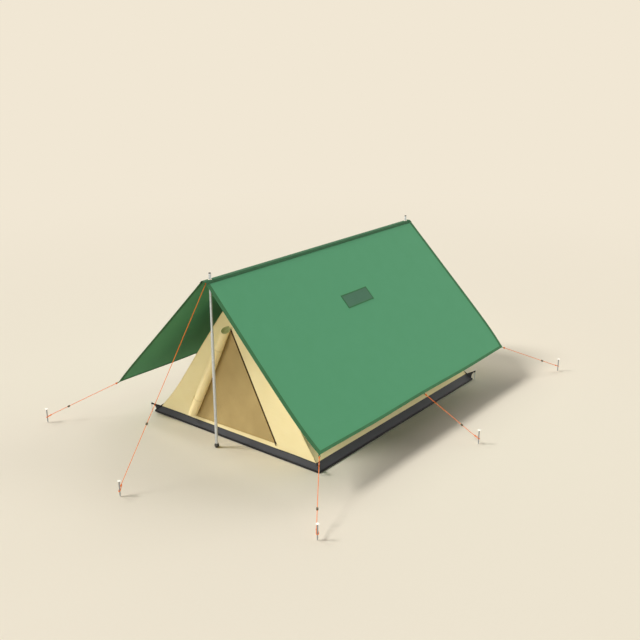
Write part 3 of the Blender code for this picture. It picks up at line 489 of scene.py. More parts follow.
# The same cloth folded double with tape, drawn darker: painted shade for the shade that its fold holds
HEM_CLOTH = trim_cloth("doubled_taffeta_hem", "#3d7049", "#376641")
# A doubled strip over the ridge: the darkest green, painted shade, so that it still looks dark in top light
RIDGE_TAPE = trim_cloth("doubled_taffeta_ridge", "#2f5a3b", "#2a5235")
# Light cotton: matt and creamy, lets a little light through
COTTON = woven("cotton_lawn", "inner_cotton", "#fae6b0", "#f6e0a7", 0.0012, 0.9, 0.25, glow=0.25)
# Cotton tape for seams and ties: the same yarn in a heavier twill
COTTON_TAPE = woven("cotton_twill_tape", "inner_cotton", "#f5e2ab", "#ead39a", 0.0016, 0.9, 0.5)
# Polyamide webbing: thick ribbed yarn, black with a slight shine
WEBBING = woven("polyamide_webbing", "black_webbing", "#26262a", "#17171a", 0.0018, 0.6, 0.8)
print("woven finishes:", list(SLOTS)[1:])

# %% [markdown]
# Metals and mouldings come next. Galvanised steel shows pale zinc flowers, which a Voronoi
# pattern draws. Moulded plastic and rubber are dull with a fine grain. All of these patterns read
# Object coordinates, because the pieces they cover are solid.


# %% Metal, rubber and plastic
def solid_finish(name, slot, light, dark, spot, roughness, metallic=0.0, cells=False, bump=0.1):
    """A solid material mottled between two colours, with spots of a size in metres."""
    made, tree, shader = new_material(name, slot, {"Metallic": metallic})
    place = add_node(tree, "ShaderNodeTexCoord")
    kind = "ShaderNodeTexVoronoi" if cells else "ShaderNodeTexNoise"
    grain = add_node(tree, kind, {"Vector": place.outputs["Object"], "Scale": 1 / spot})
    if cells:
        grey = add_node(tree, "ShaderNodeRGBToBW", {0: grain.outputs["Color"]}).outputs[0]
    else:
        grey = grain.outputs["Fac"]
    rough = add_node(
        tree,
        "ShaderNodeMapRange",
        {"Value": grey, "To Min": roughness - 0.08, "To Max": roughness + 0.08},
    )
    fine = add_node(
        tree, "ShaderNodeTexNoise", {"Vector": place.outputs["Object"], "Scale": 3 / spot}
    )
    tree.links.new(rough.outputs["Result"], shader.inputs["Roughness"])
    dye_and_raise(tree, shader, grey, light, dark, fine.outputs["Fac"], bump, spot * 0.05)
    return made


def metal(name, light, dark, spot, roughness, metallic, cells=False):
    """A metal, in the slot that all of the tent's steel and brass share."""
    return solid_finish(name, "galvanised_steel", light, dark, spot, roughness, metallic, cells)


# Hot-dip galvanised steel tube: pale grey, softly crystalline, satin
ZINC = metal("galvanised_steel_tube", "#d9dde0", "#c3c8cb", 0.006, 0.42, 0.6, True)
# Nickel-plated brass eyelets and rings: brighter and smoother
NICKEL = metal("nickel_plated_brass", "#c8c2b0", "#a9a392", 0.002, 0.3, 1.0)
# Oxidised brass: brown and dull, so that a slider doesn't flash against its zip
BROWN_BRASS = metal("oxidised_brass", "#5f4a2c", "#4b3921", 0.002, 0.45, 0.5)
# Moulded rubber: near black, dull, finely grained
RUBBER = solid_finish(
    "moulded_rubber", "foot_rubber", "#45433a", "#33322c", 0.0015, 0.75, bump=0.3
)
# Moulded polyamide: dark olive brown, slightly glossy where it is handled
RUNNER_PLASTIC = solid_finish(
    "moulded_polyamide", "runner_plastic", "#5f5234", "#4c4129", 0.002, 0.45
)
# Polyester sewing thread, in the colours of its cloth
GREEN_THREAD = solid_finish(
    "green_sewing_thread", "fly_binding_tape", "#35643f", "#2c5736", 0.001, 0.7
)
CREAM_THREAD = solid_finish(
    "cream_sewing_thread", "inner_cotton", "#e3cf9c", "#d3bd88", 0.001, 0.7
)
print("zinc flowers are drawn 6 mm wide")

# %% [markdown]
# Every finished piece is a plain mesh in place. It rides on a body of the frame, stands for the
# solids it covers and takes the slot of its finish. One helper does all of that. Another lays a
# closed skin over rings of points. With it, a third sweeps a cross-section along a path, which
# makes tapes, hems, cords and seams: the section is drawn in the two directions given at each
# station, so corners can be mitred.


# %% Helpers for pieces
def new_piece(name, mesh, material, body="tent", nodes=(), angle=40):
    """Link a mesh as a piece that rides on a body and stands for some solids."""
    mesh.name = name
    mesh.materials.clear()
    mesh.materials.append(material)
    mesh.shade_smooth()
    mesh.set_sharp_from_angle(angle=math.radians(angle))
    piece = bpy.data.objects.new(name, mesh)
    bpy.context.scene.collection.objects.link(piece)
    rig.ride(piece, body)
    if nodes:
        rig.replaces(piece, *nodes)
    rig.slot(piece, SLOTS[material.name])
    return piece


def spaced(start, end, count):
    """Evenly spaced values."""
    return [start + (end - start) * index / (count - 1) for index in range(count)]


def distances_along(points):
    """How far each point of a path is from its first, measured along it."""
    distances = [0.0]
    for before, after in zip(points, points[1:]):
        distances.append(distances[-1] + math.dist(before, after))
    return distances


def face_out(mesh):
    """Turn the faces of closed shapes outwards."""
    body = bmesh.new()
    body.from_mesh(mesh)
    bmesh.ops.recalc_face_normals(body, faces=body.faces)
    body.to_mesh(mesh)
    body.free()


def mesh_from(points, faces, uvs):
    """A mesh from points and faces, with a UV in metres for each corner of each face."""
    mesh = bpy.data.meshes.new("cloth")
    mesh.from_pydata([tuple(p) for p in points], [], faces)
    layer = mesh.uv_layers.new(name="UVMap")
    layer.data.foreach_set("uv", np.array(uvs, np.float32).ravel())
    mesh.validate()
    return mesh


def grid_mesh(us, vs, point, uv, wanted=None):
    """A sheet over a grid of values. The point and its UV come from two functions."""
    wide = len(us)
    faces = []
    for row in range(len(vs) - 1):
        for col in range(wide - 1):
            if wanted is None or wanted(col, row):
                here = row * wide + col
                faces.append((here, here + 1, here + wide + 1, here + wide))
    # An opening leaves no loose points behind, because only the corners of faces are made
    used = sorted({corner for face in faces for corner in face})
    values = [(us[corner % wide], vs[corner // wide]) for corner in used]
    order = {corner: index for index, corner in enumerate(used)}
    faces = [tuple(order[corner] for corner in face) for face in faces]
    spots = [uv(u, v) for u, v in values]
    uvs = [spots[corner] for face in faces for corner in face]
    return mesh_from([point(u, v) for u, v in values], faces, uvs)


def skin_mesh(rings, uv, closed_path=False):
    """A closed skin over rings of points. The UV comes from the numbers of ring and point."""
    wide = len(rings[0])
    points = [point for ring in rings for point in ring]
    faces = []
    uvs = []
    for row in range(len(rings) if closed_path else len(rings) - 1):
        here = row * wide
        after = (row + 1) % len(rings) * wide
        for step in range(wide):
            beside = (step + 1) % wide
            faces.append((here + step, here + beside, after + beside, after + step))
            uvs += [uv(row, step), uv(row, step + 1), uv(row + 1, step + 1), uv(row + 1, step)]
    if not closed_path:
        last = (len(rings) - 1) * wide
        for cap in (range(wide)[::-1], range(last, last + wide)):
            faces.append(tuple(cap))
            uvs += [tuple(points[corner])[:2] for corner in cap]
    mesh = mesh_from(points, faces, uvs)
    face_out(mesh)
    return mesh


def sweep_mesh(stations, section, closed_path=False):
    """Sweep a closed section along stations of (place, first direction, second direction)."""
    rings = [[place + side * a + up * b for a, b in section] for place, side, up in stations]
    path = [place for place, _, _ in stations]
    run = distances_along([*path, path[0]])
    girth = distances_along([*section, section[0]])
    return skin_mesh(rings, lambda row, step: (run[row], girth[step]), closed_path)


def circle_section(radius, sides):
    """A round section."""
    turns = [2 * math.pi * step / sides for step in range(sides)]
    return [(radius * math.cos(turn), radius * math.sin(turn)) for turn in turns]


def flat_section(half_width, half_thickness):
    """The section of a flat tape, with its two edges drawn to a blunt point."""
    tip = half_width + 0.0002
    top = [(half_width, -half_thickness), (tip, 0), (half_width, half_thickness)]
    return [(-half_width, -half_thickness), *top, (-half_width, half_thickness), (-tip, 0)]


def frames_along(points, hint):
    """Stations for a sweep along points. The first direction stays near to hint."""
    points = [Vector(p) for p in points]
    stations = []
    side = Vector(hint)
    for index, point in enumerate(points):
        before = points[max(index - 1, 0)]
        after = points[min(index + 1, len(points) - 1)]
        along = (after - before).normalized()
        side = (side - along * side.dot(along)).normalized()
        stations.append((point, side, along.cross(side)))
    return stations


def turned_mesh(profile, steps=40):
    """A solid of revolution round Z from (radius, height) points."""
    turns = [2 * math.pi * step / steps for step in range(steps)]
    points = []
    rings = []
    for radius, height in profile:
        # A point on the axis stands for its whole ring
        ring = turns if radius > 0 else turns[:1]
        rings.append(range(len(points), len(points) + len(ring)))
        points += [(radius * math.cos(turn), radius * math.sin(turn), height) for turn in ring]
    closed = profile[0][0] > 0 and profile[-1][0] > 0
    faces = []
    for here, after in zip(rings, [*rings[1:], rings[0]] if closed else rings[1:]):
        for step in range(steps):
            beside = (step + 1) % steps
            corners = [here[step % len(here)], here[beside % len(here)]]
            corners += [after[beside % len(after)], after[step % len(after)]]
            faces.append(tuple(dict.fromkeys(corners)))
    mesh = bpy.data.meshes.new("turned")
    mesh.from_pydata(points, [], faces)
    face_out(mesh)
    return mesh


def evaluated_mesh(data, kind=None, inputs=None, **settings):
    """The plain mesh of a curve, or of a mesh with one modifier."""
    holder = bpy.data.objects.new("holder", data)
    bpy.context.scene.collection.objects.link(holder)
    if kind:
        layer = holder.modifiers.new("change", kind)
        for name, value in settings.items():
            setattr(layer, name, value)
        for identifier, value in (inputs or {}).items():
            layer[identifier] = value
    graph = bpy.context.evaluated_depsgraph_get()
    result = bpy.data.meshes.new_from_object(holder.evaluated_get(graph))
    holder.modifiers.clear()
    bpy.data.objects.remove(holder, do_unlink=True)
    return result


def thickened(mesh, thickness):
    """A sheet given its thickness evenly on both sides, with its faces turned outwards."""
    solid = evaluated_mesh(mesh, "SOLIDIFY", thickness=thickness, offset=0.0, use_even_offset=True)
    face_out(solid)
    return solid


def placed(mesh, matrix):
    """A copy of a mesh, moved by a matrix that doesn't mirror it."""
    copy = mesh.copy()
    copy.transform(matrix)
    return copy


def moved(mesh, x, y, z):
    """A copy of a mesh, moved by three distances."""
    return placed(mesh, Matrix.Translation((x, y, z)))


def joined_mesh(meshes):
    """Several meshes as one."""
    body = bmesh.new()
    for mesh in meshes:
        body.from_mesh(mesh)
    whole = bpy.data.meshes.new("joined")
    body.to_mesh(whole)
    body.free()
    return whole


def pointing(direction, side, place):
    """A matrix whose Z runs along direction and whose X lies as near as it can to side."""
    z_axis = Vector(direction).normalized()
    x_axis = Vector(side) - Vector(side).dot(z_axis) * z_axis
    x_axis.normalize()
    turn = Matrix((x_axis, z_axis.cross(x_axis), z_axis)).transposed().to_4x4()
    return Matrix.Translation(place) @ turn


print("helpers ready")

# %% [markdown]
# Sewing shows on every hem. A row of stitches repeats along a path, so Geometry Nodes make it:
# the path is a thin mesh line whose points carry the cloth's normal in an attribute. The tree
# turns it into a curve, spaces points along it and sets one small grain of thread on each,
# turned along the path and lying flat on the cloth. A zip's teeth are laid in the same way.


# %% Stitches from Geometry Nodes
def thread_tree():
    """The node tree that lays stitches or teeth along a line."""
    tree = bpy.data.node_groups.new("grains_along_a_line", "GeometryNodeTree")
    face = tree.interface
    face.new_socket("Geometry", in_out="INPUT", socket_type="NodeSocketGeometry")
    for name, start in (("Spacing", 0.006), ("Length", 0.004), ("Width", 0.001), ("Height", 0.0006)):
        face.new_socket(name, in_out="INPUT", socket_type="NodeSocketFloat").default_value = start
    face.new_socket("Material", in_out="INPUT", socket_type="NodeSocketMaterial")
    face.new_socket("Geometry", in_out="OUTPUT", socket_type="NodeSocketGeometry")
    given = add_node(tree, "NodeGroupInput").outputs
    line = add_node(tree, "GeometryNodeMeshToCurve", {"Mesh": given["Geometry"]})
    points = add_node(
        tree,
        "GeometryNodeResampleCurve",
        {"Curve": line.outputs[0], "Length": given["Spacing"]},
        mode="LENGTH",
    )
    along = add_node(tree, "GeometryNodeInputTangent")
    facing = add_node(
        tree, "GeometryNodeInputNamedAttribute", {"Name": "facing"}, data_type="FLOAT_VECTOR"
    )
    turn = add_node(
        tree,
        "FunctionNodeAxesToRotation",
        {0: facing.outputs["Attribute"], 1: along.outputs[0]},
        primary_axis="Z",
        secondary_axis="X",
    )
    size = add_node(
        tree,
        "ShaderNodeCombineXYZ",
        {"X": given["Length"], "Y": given["Width"], "Z": given["Height"]},
    )
    grain = add_node(tree, "GeometryNodeMeshIcoSphere", {"Radius": 0.5, "Subdivisions": 1})
    laid = add_node(
        tree,
        "GeometryNodeInstanceOnPoints",
        {
            "Points": points.outputs[0],
            "Instance": grain.outputs[0],
            "Rotation": turn.outputs[0],
            "Scale": size.outputs[0],
        },
    )
    real = add_node(tree, "GeometryNodeRealizeInstances", {0: laid.outputs[0]})
    dressed = add_node(
        tree,
        "GeometryNodeSetMaterial",
        {"Geometry": real.outputs[0], "Material": given["Material"]},
    )
    add_node(tree, "NodeGroupOutput", {0: dressed.outputs[0]})
    return tree


GRAINS = thread_tree()


def grains_along(name, lines, material, sizes, body="tent"):
    """Lay grains along lines of (point, normal) pairs. Sizes: spacing, length, width, height."""
    points = []
    normals = []
    edges = []
    for line in lines:
        start = len(points)
        points += [tuple(point) for point, _ in line]
        normals += [tuple(normal) for _, normal in line]
        edges += [(start + step, start + step + 1) for step in range(len(line) - 1)]
    guide = bpy.data.meshes.new(name + "_guide")
    guide.from_pydata(points, edges, [])
    facing = guide.attributes.new("facing", "FLOAT_VECTOR", "POINT")
    facing.data.foreach_set("vector", np.array(normals, np.float32).ravel())
    wanted = dict(zip(("Spacing", "Length", "Width", "Height"), sizes)) | {"Material": material}
    inputs = {
        item.identifier: wanted[item.name]
        for item in GRAINS.interface.items_tree
        if item.in_out == "INPUT" and item.name in wanted
    }
    mesh = evaluated_mesh(guide, "NODES", inputs, node_group=GRAINS)
    bpy.data.meshes.remove(guide)
    face_out(mesh)
    new_piece(name, mesh, material, body, angle=80)
    print(name, "has", len(mesh.polygons), "faces")


# %% [markdown]
# The cords come first. A guy line runs straight from its tab to its peg, turns once round it and
# comes back in a short tail that is bound to the line. A taut line has no sag worth drawing, so
# its route is two straight runs and a turn on a circle. The fly's surface is needed to know where
# each line begins, so it is written down here too: a slope that sags a little between ridge and
# eave.

# %% Guy line sizes
PEG_RADIUS = 0.0043
PEG_HEIGHT = 0.104
LINE_DIAMETER = 0.004
LINE_ON_PEG_HEIGHT = 0.041
LINE_TAIL = 0.036
TAB_LENGTH = 0.014
TAB_WIDTH = 0.014
TAB_THICKNESS = 0.0025
SEWN_IN = 0.004
CORNER_PEG = Vector((1.2355, 1.603, 0))
SIDE_PEG_X = 1.3665
RIDGE_PEG_Y = 1.965
RIDGE_TAB_FROM_END = 0.040
RUNNER_FROM_PEG = {"front": 0.166, "rear": 0.166, "middle": 0.146, "ridge": 0.425}


# %% Where the lines run
def fly_point(side, along, down, lift=0.0):
    """A point of a fly panel: along the ridge from -1 to 1, and metres down from its bend."""
    share = down / FLY_SLOPE
    under_band = BAND_THICKNESS + GAP + 0.001
    out = lift - under_band - FLY_SAG * 4 * share * (1 - share)
    x = BAND_FLAT_WIDTH / 2 + FLY_RUN * down + FLY_FALL * out
    eave_dip = EAVE_SAG * share**2 * math.sin(math.pi * along) ** 2
    z = RIDGE_HEIGHT - FLY_FALL * down + FLY_RUN * out - eave_dip
    end = 1 if along > 0 else -1
    reach = RIDGE_HALF_LENGTH + (EAVE_HALF_LENGTH - RIDGE_HALF_LENGTH) * share
    reach += EDGE_BOW[end] * share * (1 - share**8) - RIDGE_SHORT[end] * (1 - share) ** 2
    return Vector((side * x, along * reach, z))


def guy_points():
    """For each line, the point where its tab is sewn in and the foot of its peg."""
    points = {}
    for end, fore in ENDS.items():
        for side, hand in SIDES.items():
            peg = Vector((hand * CORNER_PEG.x, fore * CORNER_PEG.y, 0))
            points[f"{end}_{side}"] = (fly_point(hand, fore, FLY_SLOPE), peg)
        held = Vector((0, fore * (RIDGE_HALF_LENGTH - RIDGE_TAB_FROM_END), RIDGE_HEIGHT - 0.002))
        points[f"ridge_{end}"] = (held, Vector((0, fore * RIDGE_PEG_Y, 0)))
    for side, hand in SIDES.items():
        held = fly_point(hand, 0, FLY_SLOPE)
        points[f"middle_{side}"] = (held, Vector((hand * SIDE_PEG_X, 0, 0)))
    return points


def guy_direction(held, peg):
    """Direction from a tab to its peg."""
    return (peg + Vector((0, 0, LINE_ON_PEG_HEIGHT)) - held).normalized()


def guy_route(held, peg):
    """Points of a line, and the index of the point where it first touches its peg."""
    start = held + guy_direction(held, peg) * (TAB_LENGTH + GAP)
    wrap = PEG_RADIUS + LINE_DIAMETER / 2 + GAP
    level = Vector((start.x - peg.x, start.y - peg.y, 0))
    towards = level.normalized()
    across = Vector((-towards.y, towards.x, 0))
    rise = Vector((0, 0, (start.z - LINE_ON_PEG_HEIGHT) / level.length))
    middle = Vector((peg.x, peg.y, LINE_ON_PEG_HEIGHT))
    # The turn ends a little past the opposite point of touch, where the tail leaves for the line
    first = math.acos(wrap / level.length)
    turned = [
        middle + (towards + rise) * wrap * math.cos(turn) + across * wrap * math.sin(turn)
        for turn in spaced(first, 2 * math.pi - first * 0.93, 20)
    ]
    straight = (turned[0] - start).normalized()
    beside = (across - straight * across.dot(straight)).normalized()
    tail_end = turned[0] - straight * LINE_TAIL - beside * (LINE_DIAMETER + 3 * GAP)
    run = [start.lerp(turned[0], share) for share in spaced(0, 1, 13)][:-1]
    tail = [turned[-1].lerp(tail_end, share) for share in spaced(0, 1, 6)][1:]
    return [*run, *turned, *tail], len(run)


GUYS = guy_points()
for name, (held, peg) in GUYS.items():
    print(name, "line is", round(distances_along(guy_route(held, peg)[0])[-1], 3), "m")

# %% [markdown]
# The cord is braided polyester: sixteen strands cross over each other on two slants. The product
# of two slanted sine waves gives the diamond pattern. A real diamond is about 1.5 mm long. It is
# drawn 3 mm long, so that it shows.

# %% Braided cord finish
DIAMOND = 0.003


def braided(name, slot, light, dark, girth):
    """A braid seen from outside, for a cord of a known girth."""
    made, tree, shader = new_material(name, slot, {"Roughness": 0.7, "Specular IOR Level": 0.2})
    cord = add_node(tree, "ShaderNodeUVMap")
    slants = (math.pi / DIAMOND, 4 * math.pi / girth)
    left = wave(tree, cord.outputs[0], (slants[0], slants[1], 0))
    right = wave(tree, cord.outputs[0], (slants[0], -slants[1], 0))
    diamonds = add_node(tree, "ShaderNodeMath", {0: left, 1: right}, operation="MULTIPLY").outputs[0]
    # Crowns of the strands are light and the valleys between them dark: painted shade
    share = add_node(
        tree, "ShaderNodeMapRange", {"Value": diamonds, "From Min": -0.6, "From Max": 0.6}
    ).outputs["Result"]
    dye_and_raise(tree, shader, share, light, dark, diamonds, 0.5, 0.0004)
    return made


# Braided polyester: bright orange, each strand a little shiny, with painted shade in the valleys between
GUY_CORD = braided(
    "braided_polyester_cord", "guy_line_cord", "#f7862e", "#de6716", math.pi * LINE_DIAMETER
)
print("diamonds on the cord are", round(DIAMOND * 1000), "mm long")

# %% [markdown]
# A line is tied on with a loop through the tab's hole, held by three turns of a thinner cord, and
# its tail is bound to it with three turns more. Both bindings are coils with an oval
# cross-section. A coil is a helix whose two half widths differ, swept with a round section.

# %% Guy lines with their knots
LOOP_STRAND_RADIUS = 0.0017
BINDING_RADIUS = 0.0012
BINDING_TURNS = 3
STEPS_IN_A_TURN = 16
LOOP_BINDING_FROM_SEAM = 0.0165
LOOP_BINDING_HALF_WIDTH = 0.0062
TAIL_BINDING_FROM_PEG = 0.0235
# Half of the loop, from its end under the binding to the hole: along the line and out of it
HALF_LOOP = [(0.0250, 0.0026), (0.0215, 0.0031), (0.0175, 0.0037), (0.0135, 0.0038)]
HALF_LOOP += [(0.0106, 0.0030), (0.0092, 0.0014)]
LOOP_TIP = (0.0088, 0)


def coil_mesh(start, along, wide, half_wide, half_thick):
    """Turns of cord bound round something oval: wide and thick are measured to their middle."""
    thick = along.cross(wide)
    pitch = BINDING_RADIUS * 2.05
    points = []
    for step in range(BINDING_TURNS * STEPS_IN_A_TURN + 1):
        turn = 2 * math.pi * step / STEPS_IN_A_TURN
        out = wide * half_wide * math.cos(turn) + thick * half_thick * math.sin(turn)
        points.append(start + along * pitch * step / STEPS_IN_A_TURN + out)
    return sweep_mesh(frames_along(points, along), circle_section(BINDING_RADIUS, 8))


def tab_loop_mesh(held, along, thick):
    """A loop of cord that passes through the hole of a tab."""
    path = [*HALF_LOOP, LOOP_TIP, *[(reach, -out) for reach, out in reversed(HALF_LOOP)]]
    points = [held + along * reach + thick * out for reach, out in path]
    frames = frames_along(points, along.cross(thick))
    return sweep_mesh(frames, circle_section(LOOP_STRAND_RADIUS, 8))


for name, (held, peg) in GUYS.items():
    points, touch = guy_route(held, peg)
    along = guy_direction(held, peg)
    thick = along.cross(along.cross(UP).normalized())
    back = (points[0] - points[touch]).normalized()
    beside = (points[-1] - points[touch]) - back * (points[-1] - points[touch]).dot(back)
    grip = LINE_DIAMETER / 2 + BINDING_RADIUS
    loop_binding = held + along * LOOP_BINDING_FROM_SEAM
    tail_binding = points[touch] + beside / 2 + back * TAIL_BINDING_FROM_PEG
    knots = [
        tab_loop_mesh(held, along, thick),
        coil_mesh(loop_binding, along, thick, LOOP_BINDING_HALF_WIDTH, grip),
        coil_mesh(tail_binding, back, beside.normalized(), beside.length / 2 + grip, grip),
    ]
    knot = new_piece(f"guy_knots_{name}", joined_mesh(knots), GUY_CORD)
    cord = sweep_mesh(frames_along(points, UP), circle_section(LINE_DIAMETER / 2, 12))
    line = new_piece(f"guy_cord_{name}", cord, GUY_CORD, nodes=[f"guy_line_{name}"])
    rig.cord(
        line,
        exit=points[0],
        length=distances_along(points)[-1],
        diameter=LINE_DIAMETER,
        far_end="knot",
        stiffness="limp",
        lay="taut",
        path=points,
        with_pieces=[knot],
    )
print("guy lines:", len(GUYS))

# %% [markdown]
# The flysheet is two panels of proofed cloth. Pulled tight, such a cloth stays smooth but never
# quite flat: shallow folds fan out from every point that holds it. They are a sum of waves that
# turn round each guy tab and pole tip and fade away from it, with a slow swell from noise. The
# height is a millimetre, which only the light notices. Hems and patch use the same function, so
# they follow the cloth.

# %% Fly surface
FOLD_HEIGHT = 0.0008
FOLDS_ROUND_A_POINT = 9
FOLD_START = 0.08
FOLD_REACH = 0.32
SWELLS_PER_METRE = 2.1
# What holds a panel, as (along the ridge, down the slope): three guy tabs and two pole tips
HELD_AT = [(-1.19, 1.29), (0.0, 1.29), (1.19, 1.29)]
HELD_AT += [(-POLE_FROM_CENTRE, 0.0), (POLE_FROM_CENTRE, 0.0)]
HEM_ALONG = 1 - END_HEM_WIDTH / RIDGE_HALF_LENGTH
HEM_TOP = BAND_FLANK + 2 * GAP
HEM_DOWN = FLY_SLOPE - HEM_WIDTH
FLY_CLOTH_THICKNESS = 0.0008
# The cloth begins just under the ridge band's bend, and runs on a little under its hems
PANEL_TOP = 0.003
TUCK = 0.001


def fold_height(side, along, down):
    """How far the cloth stands off its smooth surface, in metres."""
    y = along * RIDGE_HALF_LENGTH
    height = 0.0
    for count, (held_y, held_down) in enumerate(HELD_AT):
        reach = math.hypot(y - held_y, down - held_down)
        turn = math.atan2(down - held_down, y - held_y)
        fan = math.sin(FOLDS_ROUND_A_POINT * turn + 1.7 * count + side)
        height += FOLD_HEIGHT * fan * min(1.0, reach / FOLD_START) * math.exp(-reach / FOLD_REACH)
    spot = Vector((y * SWELLS_PER_METRE, down * SWELLS_PER_METRE, 3.0 + side))
    return height + FOLD_HEIGHT * noise.noise(spot)


def cloth_point(side, along, down, lift=0.0):
    """A point of the fly with its folds."""
    return fly_point(side, along, down, lift + fold_height(side, along, down))


def out_of_fly(side):
    """Direction straight out of a fly panel."""
    return Vector((side * FLY_FALL, 0, FLY_RUN))


for name, side in SIDES.items():
    sheet = grid_mesh(
        spaced(-HEM_ALONG - TUCK, HEM_ALONG + TUCK, 121),
        spaced(PANEL_TOP + TUCK, HEM_DOWN + TUCK, 65),
        lambda along, down: cloth_point(side, along, down),
        lambda along, down: (along * RIDGE_HALF_LENGTH, down),
    )
    cloth = thickened(sheet, FLY_CLOTH_THICKNESS)
    panel = new_piece(f"fly_cloth_{name}", cloth, FLY_CLOTH, nodes=[f"fly_panel_{name}"])
    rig.sheet(
        panel,
        flat=(HEM_DOWN - PANEL_TOP, 2 * HEM_ALONG * RIDGE_HALF_LENGTH),
        held="stretched",
        rests_on=["fly_ridge_band"],
    )
    print(panel.name, "has", len(panel.data.polygons), "faces")

# %% [markdown]
# A hem is the cloth folded over a cord: thick and round at the rim, thin where it is sewn down.
# One section with that outline is swept round the three free edges of a panel. Each station
# carries a direction that reaches from the outer edge to the seam, so the corners are mitred by
# themselves.

# %% Hems with their stitches
HEM_RIM = 0.0023
HEM_LEAF = 0.0012
STITCH_IN = 0.0105
# Spacing, length, width and height of a stitch
GREEN_STITCH = (0.008, 0.0058, 0.0013, 0.0008)
# The leaf of the hem, from the rim to the seam: how far in, and its half thickness
LEAF_POINTS = [(0.0058, HEM_LEAF * 1.15), (0.0120, HEM_LEAF), (HEM_WIDTH, HEM_LEAF * 0.5)]
HEM_SECTION = [
    (HEM_RIM + HEM_RIM * math.cos(turn), HEM_RIM * math.sin(turn))
    for turn in spaced(math.radians(75), math.radians(285), 12)
]
HEM_SECTION += [(across, -out) for across, out in LEAF_POINTS]
HEM_SECTION += reversed(LEAF_POINTS)


def border_stations(pairs, normal, width):
    """Stations along an edge from (outer, inner) points, with directions scaled by width."""
    return [(outer, (inner - outer) / width, normal) for outer, inner in pairs]


def stitch_line(stations, inwards, lift):
    """Points and normals of a seam at a distance inside an edge."""
    return [(edge + side * inwards + up * lift, up) for edge, side, up in stations]


for name, side in SIDES.items():
    downs = spaced(HEM_TOP, HEM_DOWN, 48)[:-1]
    ends = {
        fore: [(cloth_point(side, fore, d), cloth_point(side, fore * HEM_ALONG, d)) for d in downs]
        for fore in ENDS.values()
    }
    eave = []
    for along in spaced(-HEM_ALONG, HEM_ALONG, 90):
        corner = abs(along) > HEM_ALONG - 0.000001
        edge = math.copysign(1, along) if corner else along
        eave.append((cloth_point(side, edge, FLY_SLOPE), cloth_point(side, along, HEM_DOWN)))
    pairs = [*ends[-1], *eave, *reversed(ends[1])]
    stations = border_stations(pairs, out_of_fly(side), HEM_WIDTH)
    hem = sweep_mesh(stations, HEM_SECTION)
    new_piece(f"fly_hem_{name}", hem, HEM_CLOTH, nodes=[f"fly_binding_{name}"])
    seams = [stitch_line(stations, STITCH_IN, lift) for lift in (0.0013, -0.0013)]
    grains_along(f"hem_stitches_{name}", seams, GREEN_THREAD, GREEN_STITCH)

# %% [markdown]
# A tab is a short piece of folded cloth with a plated brass eyelet, sewn into the hem. Its outline
# is a flat curve with a hole: a curve filled on both sides and extruded with a small bevel gives
# clean edges in one step.

# %% Guy tabs
TAB_CORNER = 0.003
TAB_BEVEL = 0.0004
TAB_HOLE_AT = (TAB_LENGTH + SEWN_IN) / 2
TAB_HOLE_RADIUS = 0.0030
EYELET_RADIUS = 0.0038
EYELET_WIRE = 0.0007


def plate_mesh(outline, hole_at, hole_radius, thickness, bevel):
    """A flat plate with one round hole on its long axis, rounded at its edges."""
    data = bpy.data.curves.new("outline", "CURVE")
    data.dimensions = "2D"
    data.fill_mode = "BOTH"
    data.extrude = thickness / 2 - bevel
    data.bevel_depth = bevel
    data.bevel_resolution = 2
    data.offset = -bevel
    radius = hole_radius + bevel
    ring = [
        (radius * math.cos(turn), hole_at + radius * math.sin(turn))
        for turn in spaced(2 * math.pi, 2 * math.pi / 24, 24)
    ]
    for loop in (outline, ring):
        spline = data.splines.new("POLY")
        spline.points.add(len(loop) - 1)
        for corner, (a, b) in zip(spline.points, loop):
            corner.co = (a, b, 0, 1)
        spline.use_cyclic_u = True
    mesh = evaluated_mesh(data)
    body = bmesh.new()
    body.from_mesh(mesh)
    bmesh.ops.remove_doubles(body, verts=body.verts, dist=0.000002)
    bmesh.ops.recalc_face_normals(body, faces=body.faces)
    layer = body.loops.layers.uv.verify()
    for face in body.faces:
        for corner in face.loops:
            corner[layer].uv = corner.vert.co.xy
    body.to_mesh(mesh)
    body.free()
    return mesh


def arc(centre, radius, start, end, steps=6):
    """Points of an arc in a plane. Its angles are in degrees."""
    turns = [math.radians(angle) for angle in spaced(start, end, steps)]
    x, y = centre
    return [(x + radius * math.cos(turn), y + radius * math.sin(turn)) for turn in turns]


def rounded_outline(low, high, radius, steps):
    """Points of a rectangle with round corners, from its low and high corners."""
    (x0, y0), (x1, y1) = (low[0] + radius, low[1] + radius), (high[0] - radius, high[1] - radius)
    points = []
    for quarter, centre in enumerate([(x1, y1), (x0, y1), (x0, y0), (x1, y0)]):
        points += arc(centre, radius, 90 * quarter, 90 * (quarter + 1), steps)
    return points


def ring_mesh(radius, wire, flat=1.0, steps=32):
    """A wire ring round Z. Flat squeezes or stretches its height."""
    turns = spaced(0, 2 * math.pi, 13)[:-1]
    section = [(radius + wire * math.cos(t), wire * flat * math.sin(t)) for t in turns]
    return turned_mesh(section, steps)


TAB_OUTLINE = rounded_outline((-TAB_WIDTH / 2, -SEWN_IN), (TAB_WIDTH / 2, TAB_LENGTH), TAB_CORNER, 6)
TAB = plate_mesh(TAB_OUTLINE, TAB_HOLE_AT, TAB_HOLE_RADIUS, TAB_THICKNESS, TAB_BEVEL)
EYELET = moved(ring_mesh(EYELET_RADIUS, EYELET_WIRE, 1.9, 24), 0, TAB_HOLE_AT, 0)
tabs = []
eyelets = []
for held, peg in GUYS.values():
    along = guy_direction(held, peg)
    level = along.cross(UP).normalized()
    place = pointing(level.cross(along), level, held)
    tabs.append(placed(TAB, place))
    eyelets.append(placed(EYELET, place))
# The tabs take the hem's darker green, with its painted shade
new_piece("guy_tabs", joined_mesh(tabs), HEM_CLOTH)
new_piece("guy_tab_eyelets", joined_mesh(eyelets), NICKEL)
print("tabs:", len(tabs))

